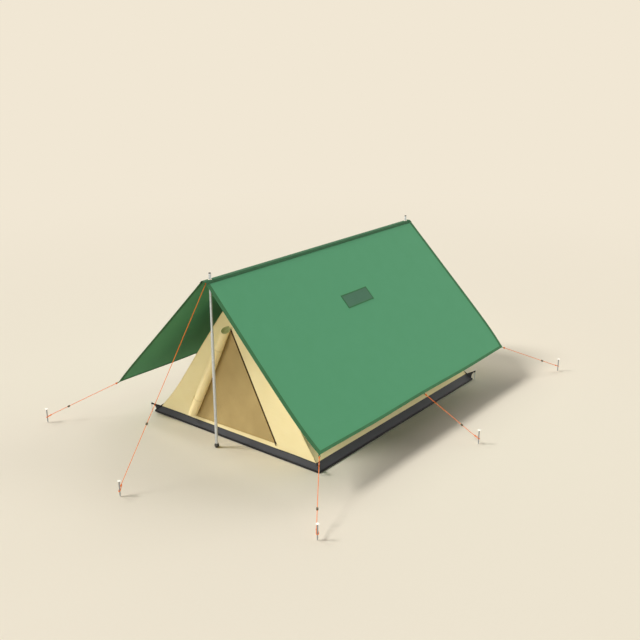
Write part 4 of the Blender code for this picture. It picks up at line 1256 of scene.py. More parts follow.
# %% [markdown]
# The ridge band is a strip of doubled cloth folded over the seam between the panels. Its profile
# is drawn with two soft bends, extruded along the ridge and thickened. The two pole holes are
# cut with exact Booleans, because a hole that goes right through is a real hole.

# %% Ridge band
BAND_BEND = 0.006
POLE_HOLE_RADIUS = 0.0093
# The rolled rim of an eyelet, as (radius, height)
RIM_PROFILE = [(0.0090, 0.0000), (0.0090, 0.0011), (0.0096, 0.0017), (0.0108, 0.0018)]
RIM_PROFILE += [(0.0124, 0.0013), (0.0134, 0.0005), (0.0135, 0.0000)]


def band_profile(lift=0.0):
    """Middle line of the band's cross-section as (x, z) points, from left to right."""
    half = BAND_FLAT_WIDTH / 2
    level = RIDGE_HEIGHT - BAND_THICKNESS / 2
    right = [(x, level) for x in spaced(0, half - BAND_BEND, 4)]
    for share in spaced(0, 1, 8)[1:]:
        across = BAND_BEND * share**2 * FLY_RUN + half - BAND_BEND * (1 - share) ** 2
        right.append((across, level - FLY_FALL * BAND_BEND * share**2))
    for reach in spaced(BAND_BEND, BAND_FLANK, 6)[1:]:
        right.append((half + FLY_RUN * reach, level - FLY_FALL * reach))
    lifted = []
    for index, (x, z) in enumerate(right):
        x0, z0 = right[max(index - 1, 0)]
        x1, z1 = right[min(index + 1, len(right) - 1)]
        length = math.hypot(x1 - x0, z1 - z0)
        lifted.append((x - (z1 - z0) / length * lift, z + (x1 - x0) / length * lift))
    return [(-x, z) for x, z in reversed(lifted[1:])] + lifted


def exact_cut(mesh, cutter):
    """One mesh with another taken out of it."""
    tool = bpy.data.objects.new("cutter", cutter)
    bpy.context.scene.collection.objects.link(tool)
    result = evaluated_mesh(mesh, "BOOLEAN", operation="DIFFERENCE", solver="EXACT", object=tool)
    bpy.data.objects.remove(tool, do_unlink=True)
    return result


PROFILE = band_profile()
PROFILE_RUN = distances_along(PROFILE)
band = grid_mesh(
    range(len(PROFILE)),
    spaced(RIDGE_SHORT[-1] - RIDGE_HALF_LENGTH, RIDGE_HALF_LENGTH - RIDGE_SHORT[1], 81),
    lambda index, y: Vector((PROFILE[index][0], y, PROFILE[index][1])),
    lambda index, y: (y, PROFILE_RUN[index]),
)
band = thickened(band, BAND_THICKNESS)
drill = turned_mesh([(0, 0.02), (POLE_HOLE_RADIUS, 0.02), (POLE_HOLE_RADIUS, -0.02), (0, -0.02)])
for fore in ENDS.values():
    band = exact_cut(band, moved(drill, 0, fore * POLE_FROM_CENTRE, RIDGE_HEIGHT - 0.001))
new_piece("ridge_band", band, RIDGE_TAPE, nodes=["fly_ridge_band"])

seams = []
over = band_profile(0.0011)
for row in (3, len(over) - 4):
    x, z = over[row]
    up = Vector((x - PROFILE[row][0], 0, z - PROFILE[row][1])).normalized()
    seams.append([(Vector((x, y, z)), up) for y in spaced(-1.190, 1.176, 41)])
grains_along("band_stitches", seams, GREEN_THREAD, GREEN_STITCH)
for end, fore in ENDS.items():
    rim = moved(turned_mesh(RIM_PROFILE), 0, fore * POLE_FROM_CENTRE, RIDGE_HEIGHT + GAP)
    new_piece(f"ridge_eyelet_{end}", rim, NICKEL, nodes=[f"fly_eyelet_{end}"])
print("ridge band has", len(band.polygons), "faces")

# %% [markdown]
# A plain patch of darker cloth is sewn to the right panel. Its edge is turned under, so a border
# of double thickness frames it: the same border sweep as for the hems, on a closed path.

# %% Patch
PATCH_LENGTH = 0.304
PATCH_WIDTH = 0.110
PATCH_FROM_RIDGE = 0.402
PATCH_FROM_MIDDLE = 0.006
PATCH_BORDER = 0.009
PATCH_LIFT = 0.0016
# The border's section: flat below, with a soft rim above that thins towards the inner edge
PATCH_LEAF = [(0, -0.0007), (0, 0.0006), (0.0007, 0.0011), (0.0080, 0.0010)]
PATCH_LEAF += [(PATCH_BORDER, 0.0005), (PATCH_BORDER, -0.0007)]
PATCH_STITCH = (0.006, 0.0042, 0.0011, 0.0007)
# The same taffeta in a greyer green
PATCH_CLOTH = trim_cloth("grey_green_taffeta", "#486f58", "#446953", 0.2)


def patch_point(x, y, lift=PATCH_LIFT):
    """A point of the patch, measured from its middle along the ridge and from its top edge."""
    return cloth_point(1, (x + PATCH_FROM_MIDDLE) / RIDGE_HALF_LENGTH, PATCH_FROM_RIDGE + y, lift)


def clamped(value, low, high):
    """A value kept between two others."""
    return max(low, min(high, value))


half = PATCH_LENGTH / 2
sheet = grid_mesh(
    spaced(TUCK - half, half - TUCK, 41),
    spaced(TUCK, PATCH_WIDTH - TUCK, 17),
    patch_point,
    lambda x, y: (x, y),
)
cloth = thickened(sheet, FLY_CLOTH_THICKNESS)
patch = new_piece("fly_patch_cloth", cloth, PATCH_CLOTH, nodes=["fly_patch"])
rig.sheet(patch, flat=(PATCH_WIDTH, PATCH_LENGTH), held="stretched", rests_on=["fly_cloth_right"])
outer = [(x, 0) for x in spaced(-half, half, 30)]
outer += [(half, y) for y in spaced(0, PATCH_WIDTH, 12)][1:]
outer += [(x, PATCH_WIDTH) for x in spaced(half, -half, 30)][1:]
outer += [(-half, y) for y in spaced(PATCH_WIDTH, 0, 12)][1:-1]
pairs = []
for x, y in outer:
    inner_x = clamped(x, PATCH_BORDER - half, half - PATCH_BORDER)
    inner_y = clamped(y, PATCH_BORDER, PATCH_WIDTH - PATCH_BORDER)
    pairs.append((patch_point(x, y), patch_point(inner_x, inner_y)))
stations = border_stations(pairs, out_of_fly(1), PATCH_BORDER)
# The border takes the hem's darker green: painted shade for its turned-under fold
new_piece("fly_patch_border", sweep_mesh(stations, PATCH_LEAF, True), HEM_CLOTH)
seam = stitch_line(stations, 0.0055, 0.0012)
grains_along("patch_stitches", [[*seam, seam[0]]], GREEN_THREAD, PATCH_STITCH)

# %% [markdown]
# The groundsheet is a tub: a floor with low walls that lean inwards to the cotton. It is coated
# cloth, so its corners are round and its walls ripple a little. Loops of points round the tent,
# one for each height, are joined into a closed skin. A black piping runs round the foot, drawn
# wide so that it also stands in for the contact shadow there, as painted shade. A dark tape
# covers the seam at the top.

# %% Groundsheet
FLOOR_PEG = Vector((0.784, 1.016, 0))
FLOOR_PEG_RADIUS = 0.0025
TUB_CORNER = 0.012
TUB_WALL = 0.0022
TUB_RIPPLE = 0.0035
SEAM_RIPPLE = 0.0006
PIPING_RADIUS = 0.0062
PIPING_OUT = 0.0036
# PVC-coated polyester: dark grey, dull, finely ribbed by the cloth under the coat
COATED_CLOTH = woven(
    "pvc_coated_polyester", "groundsheet_pvc", "#444446", "#3c3c3e", 0.0016, 0.6, 0.2
)
# The piping and seam tape of the same sheet: nearly black. The wide piping also stands in for the contact shadow at
# the tub's foot: painted shade
COATED_TAPE = woven("pvc_coated_tape", "groundsheet_pvc", "#191818", "#121111", 0.0016, 0.6, 0.3)
print("tub walls are", round(TUB_TOP.z * 1000), "mm high")


# %% Tub loops
def tub_loop(height, inwards=0.0, ripple=0.0):
    """Points round the tub at a height, in order, with round corners."""
    share = min(1.0, height / TUB_TOP.z)
    wide = TUB_FOOT.x + (TUB_TOP.x - TUB_FOOT.x) * share - inwards
    long = TUB_FOOT.y + (TUB_TOP.y - TUB_FOOT.y) * share - inwards
    points = []
    for x_side, y_side, quarter in ((1, -1, 3), (1, 1, 0), (-1, 1, 1), (-1, -1, 2)):
        centre = (x_side * (wide - TUB_CORNER), y_side * (long - TUB_CORNER))
        corner = arc(centre, TUB_CORNER, 90 * quarter, 90 * (quarter + 1), 9)
        points += [Vector((x, y, height)) for x, y in corner]
    filled = []
    for point, after in zip(points, [*points[1:], points[0]]):
        filled.append(point)
        if (after - point).length > 0.1:
            filled += [point.lerp(after, share) for share in spaced(0, 1, 50)[1:-1]]
    # A ripple moves a point only across the wall that it stands in
    near = 0.02
    for point in filled:
        wave_in = noise.noise(Vector((point.x * 6, point.y * 6, 1.0))) * ripple
        if abs(abs(point.x) - wide) < near:
            point.x -= math.copysign(wave_in, point.x)
        if abs(abs(point.y) - long) < near:
            point.y -= math.copysign(wave_in, point.y)
    return filled


def loop_stations(points):
    """Stations round a closed level loop. The first direction points outwards."""
    stations = []
    for before, point, after in zip([points[-1], *points], points, [*points[1:], points[0]]):
        along = (after - before).normalized()
        stations.append((point, along.cross(UP).normalized(), UP))
    return stations


# The loops' heights and how far in they lie: up the outside of the wall, and down its inside
TUB_ROWS = [(0.0, 0.003), (0.0006, 0.0008)]
TUB_ROWS += [(height, 0.0) for height in (0.003, 0.012, 0.022, 0.032, 0.040, TUB_TOP.z)]
TUB_ROWS += [(height, TUB_WALL) for height in (TUB_TOP.z + 0.0002, 0.030, 0.016)]
TUB_ROWS.append((0.003, TUB_WALL + 0.001))
loops = []
for height, inwards in TUB_ROWS:
    ripple = TUB_RIPPLE * math.sin(math.pi * min(1.0, height / TUB_TOP.z)) + SEAM_RIPPLE
    loops.append(tub_loop(height, inwards, ripple if height > 0.002 else 0))
run = distances_along([*loops[0], loops[0][0]])
girth = distances_along(TUB_ROWS)
tub = skin_mesh(loops, lambda row, step: (run[step], girth[row]))
tub_piece = new_piece("tub_sheet", tub, COATED_CLOTH, nodes=["groundsheet_tub"])
lean_x = math.hypot(TUB_TOP.z, TUB_FOOT.x - TUB_TOP.x)
lean_y = math.hypot(TUB_TOP.z, TUB_FOOT.y - TUB_TOP.y)
floor_area = 4 * TUB_FOOT.x * TUB_FOOT.y
wall_area = 2 * lean_x * (TUB_FOOT.y + TUB_TOP.y) + 2 * lean_y * (TUB_FOOT.x + TUB_TOP.x)
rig.sheet(
    tub_piece,
    flat=(2 * (TUB_FOOT.x + lean_x), 2 * (TUB_FOOT.y + lean_y)),
    held="laid",
    area=floor_area + wall_area,
)
print("groundsheet is cut", round(2 * (TUB_FOOT.x + lean_x), 3), "m wide")

edge_line = loop_stations(tub_loop(PIPING_RADIUS, -PIPING_OUT))
piping = sweep_mesh(edge_line, circle_section(PIPING_RADIUS, 12), True)
new_piece("tub_piping", piping, COATED_TAPE)
# The tape is folded over the tub's rim
SEAM_TAPE = [(-0.0004, -0.0075), (0.0013, -0.0075), (0.0016, -0.003), (0.0016, 0.0005)]
SEAM_TAPE += [(0.0006, 0.0013), (-0.0020, 0.0013), (-0.0020, -0.001)]
seam_tape = sweep_mesh(loop_stations(tub_loop(TUB_TOP.z, 0, SEAM_RIPPLE)), SEAM_TAPE, True)
new_piece("tub_seam_tape", seam_tape, COATED_TAPE)
print("tub has", len(tub.polygons), "faces")

# %% [markdown]
# The inner tent's corner seams are cut hollow, so that they pull the cloth tight: they lean in
# most at a fifth of their height. The front wall stays flat between them, because the door is
# sewn into it. A wall is a grid whose columns follow the seams and the doorway, so the opening
# keeps clean edges.

# %% Inner tent's shape
RISE = INNER_RIDGE.z - TUB_TOP.z - GAP
FOOT_HEIGHT = TUB_TOP.z + GAP
END_RUN = TUB_TOP.y - INNER_RIDGE.y
END_SLOPE = math.hypot(RISE, END_RUN)
SIDE_SLOPE = math.hypot(RISE, TUB_TOP.x)
OUT_OF_FRONT = Vector((0, -RISE, END_RUN)).normalized()
DOOR_LEFT_FOOT = (-0.395, 0.066)
DOOR_RIGHT_FOOT = (0.389, 0.076)
DOOR_TOP_HEIGHT = 0.765
DOOR_TOP_LEFT = -0.092
DOOR_TOP_RIGHT = -0.067
CORNER_HOLLOW = 0.024
HOLLOW_AT = 0.2
COTTON_THICKNESS = 0.0012


def hollow(share):
    """How far a corner seam leans in at a share of its height."""
    reach = share / HOLLOW_AT
    return CORNER_HOLLOW * reach**1.5 * math.exp(1.5 * (1 - reach))


def wall_point(x, height, fore=-1, inwards=0.0):
    """A point of the front or rear wall from its x and its height, some way inside."""
    share = (height - FOOT_HEIGHT) / RISE
    y = TUB_TOP.y - END_RUN * share - inwards * RISE / END_SLOPE
    return Vector((x, fore * y, height - inwards * END_RUN / END_SLOPE))


def half_width(height):
    """Half the width of the front wall at a height, from its middle to its corner seam."""
    share = (height - FOOT_HEIGHT) / RISE
    return max(0.0, TUB_TOP.x * (1 - share) - hollow(share))


def door_sides(height):
    """Left and right x of the doorway at a height, carried on above and below it."""
    if height > DOOR_TOP_HEIGHT:
        above = (INNER_RIDGE.z - height) / (INNER_RIDGE.z - DOOR_TOP_HEIGHT)
        return DOOR_TOP_LEFT * above, DOOR_TOP_RIGHT * above
    sides = []
    for (foot, low), top in ((DOOR_LEFT_FOOT, DOOR_TOP_LEFT), (DOOR_RIGHT_FOOT, DOOR_TOP_RIGHT)):
        up = max(0.0, (height - low) / (DOOR_TOP_HEIGHT - low))
        sides.append(foot + (top - foot) * up)
    return sides


def sill_height(x):
    """Height of the doorway's sill at an x."""
    (left, low), (right, high) = DOOR_LEFT_FOOT, DOOR_RIGHT_FOOT
    return low + (high - low) * clamped((x - left) / (right - left), 0.0, 1.0)


print("inner tent is", round(INNER_RIDGE.z, 3), "m high inside")

# %% End walls
# Columns left of the doorway, in it and right of it, and rows below it, in it and above it
WALL_COLUMNS = (14, 14, 16)
WALL_ROWS = {"sill": 3, "door": 42, "top": 18}
# Heights between which these rows lie. The sill slants, so its height here is a first guess
SILL_GUESS = 0.07
WALL_PARTS = {
    "sill": (FOOT_HEIGHT, SILL_GUESS),
    "door": (SILL_GUESS, DOOR_TOP_HEIGHT),
    "top": (DOOR_TOP_HEIGHT, INNER_RIDGE.z),
}
WALL_RIPPLE = 0.0030


def end_wall_mesh(fore, doorway):
    """The front or rear wall as a grid, with the doorway left open if wanted."""
    rows = [("sill", 0.0)]
    for part, count in WALL_ROWS.items():
        last = 0.99 if part == "top" else 1
        rows += [(part, share) for share in spaced(0, last, count + 1)[1:]]
    shares = []
    for block, count in enumerate(WALL_COLUMNS):
        shares += [(block, step / count) for step in range(count)]
    shares.append((2, 1.0))

    def spot(column, row):
        """Point of the wall for one column and one row."""
        block, across = shares[column]
        part, up = rows[row]
        low, high = WALL_PARTS[part]
        height = low + (high - low) * up
        # Height and x depend on each other a little, so both are improved three times
        for _ in range(3):
            left, right = door_sides(height)
            edge = half_width(height)
            start, end = ((-edge, left), (left, right), (right, edge))[block]
            x = start + (end - start) * across
            if part == "sill":
                height = FOOT_HEIGHT + (sill_height(x) - FOOT_HEIGHT) * up
            elif part == "door":
                height = sill_height(x) + (DOOR_TOP_HEIGHT - sill_height(x)) * up
        middle = 4 * across * (1 - across) if block != 1 or not doorway else 0
        swell = 0.6 + noise.noise(Vector((x * 5, height * 3, 7 + fore)))
        return wall_point(x, height, fore, WALL_RIPPLE * middle * swell)

    def is_cloth(column, row):
        """Whether a face belongs to the cloth and not to the open doorway."""
        in_door = shares[column][0] == 1 and rows[row + 1][0] == "door"
        return not (doorway and in_door)

    return grid_mesh(
        range(len(shares)),
        range(len(rows)),
        spot,
        lambda column, row: (spot(column, row).x, spot(column, row).z),
        is_cloth,
    )


def cotton_wall(name, sheet, flat, rests_on):
    """Make a wall from its sheet, and note the cloth that it is cut from."""
    area = sum(face.area for face in sheet.polygons)
    cloth = thickened(sheet, COTTON_THICKNESS)
    wall = new_piece(f"cotton_wall_{name}", cloth, COTTON, nodes=[f"inner_wall_{name}"])
    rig.sheet(wall, flat=flat, held="stretched", rests_on=rests_on, area=area)
    print(wall.name, "cloth", round(area, 3), "square metres")


for end, fore in ENDS.items():
    sheet = end_wall_mesh(fore, end == "front")
    top = max(corner.co.z for corner in sheet.vertices)
    flat = (2 * TUB_TOP.x, END_SLOPE * (top - FOOT_HEIGHT) / RISE)
    cotton_wall(end, sheet, flat, ["groundsheet_tub", f"apex_hanger_{end}"])

# %% [markdown]
# The side walls reach from the front corner seam to the rear one. Between them the cloth sags
# inwards a little under its own weight.

# %% Side walls, seams and ridge tape
SIDE_SAG = 0.012
SEAM_RADIUS = 0.0022
RIDGE_SEAM_RADIUS = 0.003
STITCH_FROM_SEAM = 0.008
CREAM_STITCH = (0.008, 0.0056, 0.0012, 0.0008)


def seam_point(side, fore, share, out=0.0):
    """A point of a corner seam at a share of its height, or some way out of the corner."""
    height = FOOT_HEIGHT + RISE * share
    point = wall_point(side * half_width(height), height, fore)
    return point + Vector((side * 0.7, fore * 0.7, 0.2)) * out


def side_point(side, along, share):
    """A point of a side wall: along from 0 at the front to 1 at the rear."""
    front = seam_point(side, -1, share)
    rear = seam_point(side, 1, share)
    belly = 16 * along * (1 - along) * share * (1 - share)
    ripple = noise.noise(Vector((along * 5, share * 3, 11 + side))) * 0.25
    inward = Vector((-side * RISE, 0, -TUB_TOP.x)).normalized()
    return front.lerp(rear, along) + inward * SIDE_SAG * belly * (1 + ripple)


for name, side in SIDES.items():
    sheet = grid_mesh(
        spaced(0, 1, 61),
        spaced(0, 1, 37),
        lambda along, share: side_point(side, along, share),
        lambda along, share: (along * 2 * TUB_TOP.y, share * SIDE_SLOPE),
    )
    flat = (SIDE_SLOPE, 2 * TUB_TOP.y)
    cotton_wall(name, sheet, flat, ["groundsheet_tub", "apex_hanger_front", "apex_hanger_rear"])

seams = []
stitches = []
for side in SIDES.values():
    for fore in ENDS.values():
        path = [seam_point(side, fore, share, 0.0008) for share in spaced(0.002, 0.992, 60)]
        section = circle_section(SEAM_RADIUS, 8)
        seams.append(sweep_mesh(frames_along(path, (side, 0, 0)), section))
        normal = Vector((0, fore * RISE, END_RUN)).normalized()
        inner = []
        for share in spaced(0.02, 0.95, 60):
            height = FOOT_HEIGHT + RISE * share
            x = side * (half_width(height) - STITCH_FROM_SEAM)
            inner.append((wall_point(x, height, fore, -0.0009), normal))
        stitches.append(inner)
ridge = [Vector((0, y, INNER_RIDGE.z - 0.001)) for y in spaced(-INNER_RIDGE.y, INNER_RIDGE.y, 40)]
seams.append(sweep_mesh(frames_along(ridge, (1, 0, 0)), circle_section(RIDGE_SEAM_RADIUS, 8)))
new_piece("inner_seam_piping", joined_mesh(seams), COTTON_TAPE)
grains_along("corner_seam_stitches", stitches, CREAM_THREAD, CREAM_STITCH)

# %% [markdown]
# The doorway's three sewn edges carry a binding tape folded over them. The fourth edge carries
# the zip. The tape is a flat strip with soft edges, swept along the left edge, across the top and
# along the sill, each in the plane of the wall.


# %% Doorway binding
def on_wall(x, height, out=0.0):
    """A point in front of the front wall."""
    return wall_point(x, height, -1, -out)


LEFT = Vector((-1, 0, 0))
left_foot = on_wall(*DOOR_LEFT_FOOT)
right_foot = on_wall(*DOOR_RIGHT_FOOT)
right_top = on_wall(DOOR_TOP_RIGHT, DOOR_TOP_HEIGHT)
left_top = on_wall(DOOR_TOP_LEFT, DOOR_TOP_HEIGHT)
BINDING_SEAM = 0.0085
STRIP = [(0.0002, -0.0011), (0.0110, -0.0010), (0.0114, 0.0), (0.0110, 0.0010), (0.0002, 0.0011)]
STRIP.append((0.0, 0.0))


def strip_along(start, end, outwards, past_start=0.0, past_end=0.0):
    """A strip between two points of the wall. Its width runs outwards in the wall's plane."""
    along = (end - start).normalized()
    steps = max(2, round((end - start).length / 0.03))
    first = start - along * past_start
    last = end + along * past_end
    side = (outwards - along * along.dot(outwards)).normalized()
    stations = [(first.lerp(last, share), side, OUT_OF_FRONT) for share in spaced(0, 1, steps)]
    return sweep_mesh(stations, STRIP)


def binding_seam(start, end, outwards):
    """Points and normals of the seam on a strip."""
    shift = outwards * BINDING_SEAM + OUT_OF_FRONT * 0.0011
    return [(start.lerp(end, share) + shift, OUT_OF_FRONT) for share in spaced(0.01, 0.99, 30)]


binding = [
    strip_along(left_foot, left_top, LEFT),
    strip_along(left_foot, right_foot, -UP, past_end=0.012),
    strip_along(left_top, right_top, UP, 0.008, 0.008),
]
new_piece("doorway_binding", joined_mesh(binding), COTTON_TAPE)
lines = [binding_seam(left_foot, left_top, LEFT), binding_seam(left_foot, right_foot, -UP)]
grains_along("doorway_stitches", lines, CREAM_THREAD, CREAM_STITCH)

# %% [markdown]
# The door is insect net: a fine open mesh of tan yarn. Its holes are 1 mm on the real thing and
# are drawn 3 mm apart. Two sets of sine stripes make the yarns, and where no yarn runs the
# surface lets some of the light through.


# %% Net finish
def netting(name, slot, light, dark, spacing):
    """Open net from crossing yarns, with a spacing in metres."""
    made, tree, shader = new_material(name, slot, {"Roughness": 0.85})
    cloth = add_node(tree, "ShaderNodeUVMap")
    stripes = []
    for turns in ((math.pi / spacing, 0, 0), (0, math.pi / spacing, 0)):
        line = wave(tree, cloth.outputs[0], turns)
        square = add_node(tree, "ShaderNodeMath", {0: line, 1: 2.0}, operation="POWER")
        stripes.append(square.outputs[0])
    yarn = add_node(
        tree, "ShaderNodeMath", {0: stripes[0], 1: stripes[1]}, operation="MAXIMUM"
    ).outputs[0]
    cloud = add_node(tree, "ShaderNodeTexNoise", {"Vector": cloth.outputs[0], "Scale": 7.0})
    # Where no yarn runs the colour goes dark: painted shade for the inside of the tent. The cloud adds random tone
    tone = add_node(
        tree,
        "ShaderNodeMath",
        {0: yarn, 1: 0.75, 2: cloud.outputs["Fac"]},
        operation="MULTIPLY_ADD",
    )
    share = add_node(
        tree, "ShaderNodeMapRange", {"Value": tone.outputs[0], "From Min": 0.4, "From Max": 1.4}
    ).outputs["Result"]
    solid = add_node(
        tree,
        "ShaderNodeMapRange",
        {"Value": yarn, "From Min": 0.25, "From Max": 0.6, "To Min": 0.55},
    )
    tree.links.new(solid.outputs["Result"], shader.inputs["Alpha"])
    dye_and_raise(tree, shader, share, light, dark, yarn, 0.6, spacing * 0.15)
    return made


# Knitted polyester net: tan and matt. It is darker between the yarns: painted shade for the dark inside of the tent
NET = netting("knitted_insect_net", "insect_mesh", "#c4aa70", "#a68c57", 0.003)
# Its edge tape, folded from the same colour
NET_TAPE = woven("net_edge_tape", "insect_mesh", "#b79b62", "#a88d56", 0.0016, 0.85, 0.4)
# Zip tape: dark brown woven polyester
ZIP_TAPE = woven("zip_tape_polyester", "zip_coil", "#4a3518", "#3d2b13", 0.0012, 0.75, 0.4)
# Coil teeth: dark brown polyamide, slightly shiny
ZIP_TEETH = solid_finish("polyamide_zip_coil", "zip_coil", "#452f14", "#36240f", 0.001, 0.6)
print("net yarns are drawn 3 mm apart")

# %% [markdown]
# The net door hangs on its left edge and swings inwards, so everything on it rides on the door's
# body. Its sheet reaches the same four corners as its solid. The zip's halves differ only in
# their side: a strip of tape, and a row of teeth that mesh with the other half's.

# %% Mesh door and zip
WALL_THICKNESS = 0.002
ZIP_HALF_WIDTH = 0.0068
ZIP_TAPE_THICKNESS = 0.001
ZIP_CHAIN_HEIGHT = 0.0017
ZIP_END_GAP = 0.0005
TOOTH_SPACING = 0.0024
TOOTH_FROM_MIDDLE = 0.00165
# Spacing, length, width and height of a tooth
TOOTH = (TOOTH_SPACING, 0.0013, 0.0024, ZIP_CHAIN_HEIGHT * 0.95)
# The net keeps clear of the hinge, and of the other edges of the doorway
HINGE_GAP = 0.0008
NET_GAP = 0.0006
NET_SAG = 0.004
NET_THICKNESS = 0.0005
NET_EDGE_WIDTH = 0.010

up_zip = (right_top - right_foot).normalized()
across_zip = up_zip.cross(OUT_OF_FRONT)
zip_length = (right_top - right_foot).length
zip_foot = right_foot - across_zip * (ZIP_HALF_WIDTH + GAP)
zip_face = (ZIP_TAPE_THICKNESS - WALL_THICKNESS) / 2


def zip_trim(edge):
    """How much shorter than the doorway's side the zip is, at the corner with another edge."""
    lean = abs(up_zip.dot(edge.normalized()))
    return 4 * GAP + 2 * ZIP_HALF_WIDTH * lean / math.sqrt(1 - lean**2)


def zip_place(along, across, out):
    """A point by its distances along the zip, across it and out of the wall's middle."""
    return zip_foot + up_zip * along + across_zip * across + OUT_OF_FRONT * (zip_face + out)


start = zip_trim(right_foot - left_foot) + ZIP_END_GAP
end = zip_length - zip_trim(LEFT) - ZIP_END_GAP
tape = [(GAP * 2, -0.0009), (ZIP_HALF_WIDTH, -0.0009), (ZIP_HALF_WIDTH, -0.0001), (GAP * 2, 0)]
for body, side, node in (("tent", 1, "zip_half_wall"), ("mesh_door", -1, "zip_half_door")):
    places = [zip_place(along, 0, 0) for along in spaced(start, end, 40)]
    stations = [(place, across_zip * side, OUT_OF_FRONT) for place in places]
    new_piece(f"zip_tape_{body}", sweep_mesh(stations, tape), ZIP_TAPE, body, [node])
    shift = 0 if side == 1 else TOOTH_SPACING / 2
    row = [
        (zip_place(along, side * TOOTH_FROM_MIDDLE, ZIP_CHAIN_HEIGHT * 0.45), OUT_OF_FRONT)
        for along in (start + 0.001 + shift, end - 0.001)
    ]
    grains_along(f"zip_teeth_{body}", [row], ZIP_TEETH, TOOTH, body)


def beside_zip(corner, edge):
    """The point of a doorway's edge where the net ends and the zip begins."""
    edge = edge.normalized()
    return corner - edge * (2 * ZIP_HALF_WIDTH + GAP + NET_GAP) / edge.cross(up_zip).length


net_corners = [
    left_foot - LEFT * HINGE_GAP + UP * HINGE_GAP,
    beside_zip(right_foot, right_foot - left_foot) + UP * NET_GAP,
    beside_zip(right_top, -LEFT) - UP * NET_GAP,
    left_top - LEFT * HINGE_GAP - UP * NET_GAP,
]


def net_point(across, up):
    """A point of the net door, from 0 to 1 across it and up it."""
    a, b, c, d = net_corners
    flat = a.lerp(b, across).lerp(d.lerp(c, across), up)
    belly = 16 * across * (1 - across) * up * (1 - up)
    return flat - OUT_OF_FRONT * (WALL_THICKNESS / 2 + NET_SAG * belly)


sheet = grid_mesh(
    spaced(0, 1, 31),
    spaced(0, 1, 41),
    net_point,
    lambda across, up: (net_point(across, up).x, net_point(across, up).z),
)
net_area = sum(face.area for face in sheet.polygons)
cloth = thickened(sheet, NET_THICKNESS)
net = new_piece("net_door", cloth, NET, "mesh_door", ["mesh_door"])
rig.sheet(
    net,
    flat=((net_corners[1] - net_corners[0]).length, (net_corners[3] - net_corners[0]).length),
    held="stretched",
    rests_on=["inner_wall_front"],
    area=net_area,
)
rim = [(across, 0) for across in spaced(0, 1, 24)] + [(1, up) for up in spaced(0, 1, 30)][1:]
rim += [(across, 1) for across in spaced(1, 0, 8)][1:] + [(0, up) for up in spaced(1, 0, 30)][1:-1]
pairs = []
for across, up in rim:
    # The edge tape is folded in by a share of the door, by more where the door is narrow
    inner_across = across * 0.975 + 0.0125 if up < 0.98 else across * 0.5 + 0.25
    pairs.append((net_point(across, up), net_point(inner_across, up * 0.985 + 0.0075)))
stations = border_stations(pairs, OUT_OF_FRONT, NET_EDGE_WIDTH)
hem = [(0, -0.0005), (NET_EDGE_WIDTH, -0.0004), (NET_EDGE_WIDTH, 0.0004), (0, 0.0005)]
new_piece("net_door_edge", sweep_mesh(stations, hem, True), NET_TAPE, "mesh_door")
print("net", round(net_area, 3), "square metres")


# %% [markdown]
# The slider and its puller are small castings. Their solids have the right shape already, so each
# is copied, its loose triangles are merged, flat faces are joined again and every edge is
# rounded. That is quicker than drawing them anew and keeps their clearances.


# %% Slider and puller
def rounded_copy(node, width):
    """A copy of a solid with its edges rounded by a width."""
    mesh = frame["nodes"][node].data.copy()
    body = bmesh.new()
    body.from_mesh(mesh)
    bmesh.ops.remove_doubles(body, verts=body.verts, dist=0.00001)
    flat = math.radians(3)
    bmesh.ops.dissolve_limit(body, angle_limit=flat, verts=body.verts, edges=body.edges)
    sharp = [e for e in body.edges if e.is_manifold and e.calc_face_angle() > math.radians(35)]
    bmesh.ops.bevel(
        body, geom=sharp, offset=width, segments=2, profile=0.5, affect="EDGES", clamp_overlap=True
    )
    bmesh.ops.remove_doubles(body, verts=body.verts, dist=0.000002)
    body.to_mesh(mesh)
    body.free()
    return mesh


castings = {"zip_slider": ("slider_casting", 0.00025), "zip_puller": ("pull_tab", 0.0003)}
for node, (name, width) in castings.items():
    new_piece(name, rounded_copy(node, width), BROWN_BRASS, node, [node])
print("zip length", round(zip_length, 3), "m")

# %% [markdown]
# The cotton door is rolled up beside the doorway. A roll of thin cloth is a spiral: its outside
# shows one free edge along its length, and its ends show the turns. The skin is a loft of rings
# whose radius steps by one lap, drawn in under the two ties. At both ends, rings that shrink to
# the middle carry the spiral as a low groove.

# %% Rolled door
ROLL_FOOT = (-0.386, 0.058)
ROLL_TOP = (-0.085, 0.766)
ROLL_FOOT_RADIUS = 0.029
ROLL_TOP_RADIUS = 0.0285
ROLL_BELLY = 0.0055
ROLL_LEAN = 0.004
ROLL_LAP = 0.0022
ROLL_STEPS = 72
ROLL_RINGS = 90
ROLL_GIRTH = 0.17
TIE_PLACES = {"lower": 0.22, "upper": 0.78}
TIE_THICKNESS = 0.0012
TIE_GRIP = 0.0004
TIE_REACH = 0.010
# The foot is cut level at this height, and the top at a slant, a little below its end
ROLL_FOOT_CUT = 0.087
ROLL_TOP_SLANT = 0.75
ROLL_TOP_DROP = 0.010
ROLL_CUT_FADE = 0.10
LAP_FACES = math.radians(205)
END_RINGS = 29
ROLL_END_HOLLOW = 0.009
GROOVE_DEPTH = 0.0030
TURNS_OF_CLOTH = 5.0
# The edges of the rolled cloth, seen end on: olive, painted shade for the shade they lie in between the turns
ROLL_END_SHADE = woven("cotton_roll_end_painted_shade", "inner_cotton", "#c6c688", "#b6b67b", 0.0012, 0.9, 0.25)


def roll_radius(share):
    """Radius at a share of the roll's length."""
    radius = ROLL_FOOT_RADIUS + (ROLL_TOP_RADIUS - ROLL_FOOT_RADIUS) * share
    return radius + ROLL_BELLY * math.sin(math.pi * share) ** 0.7


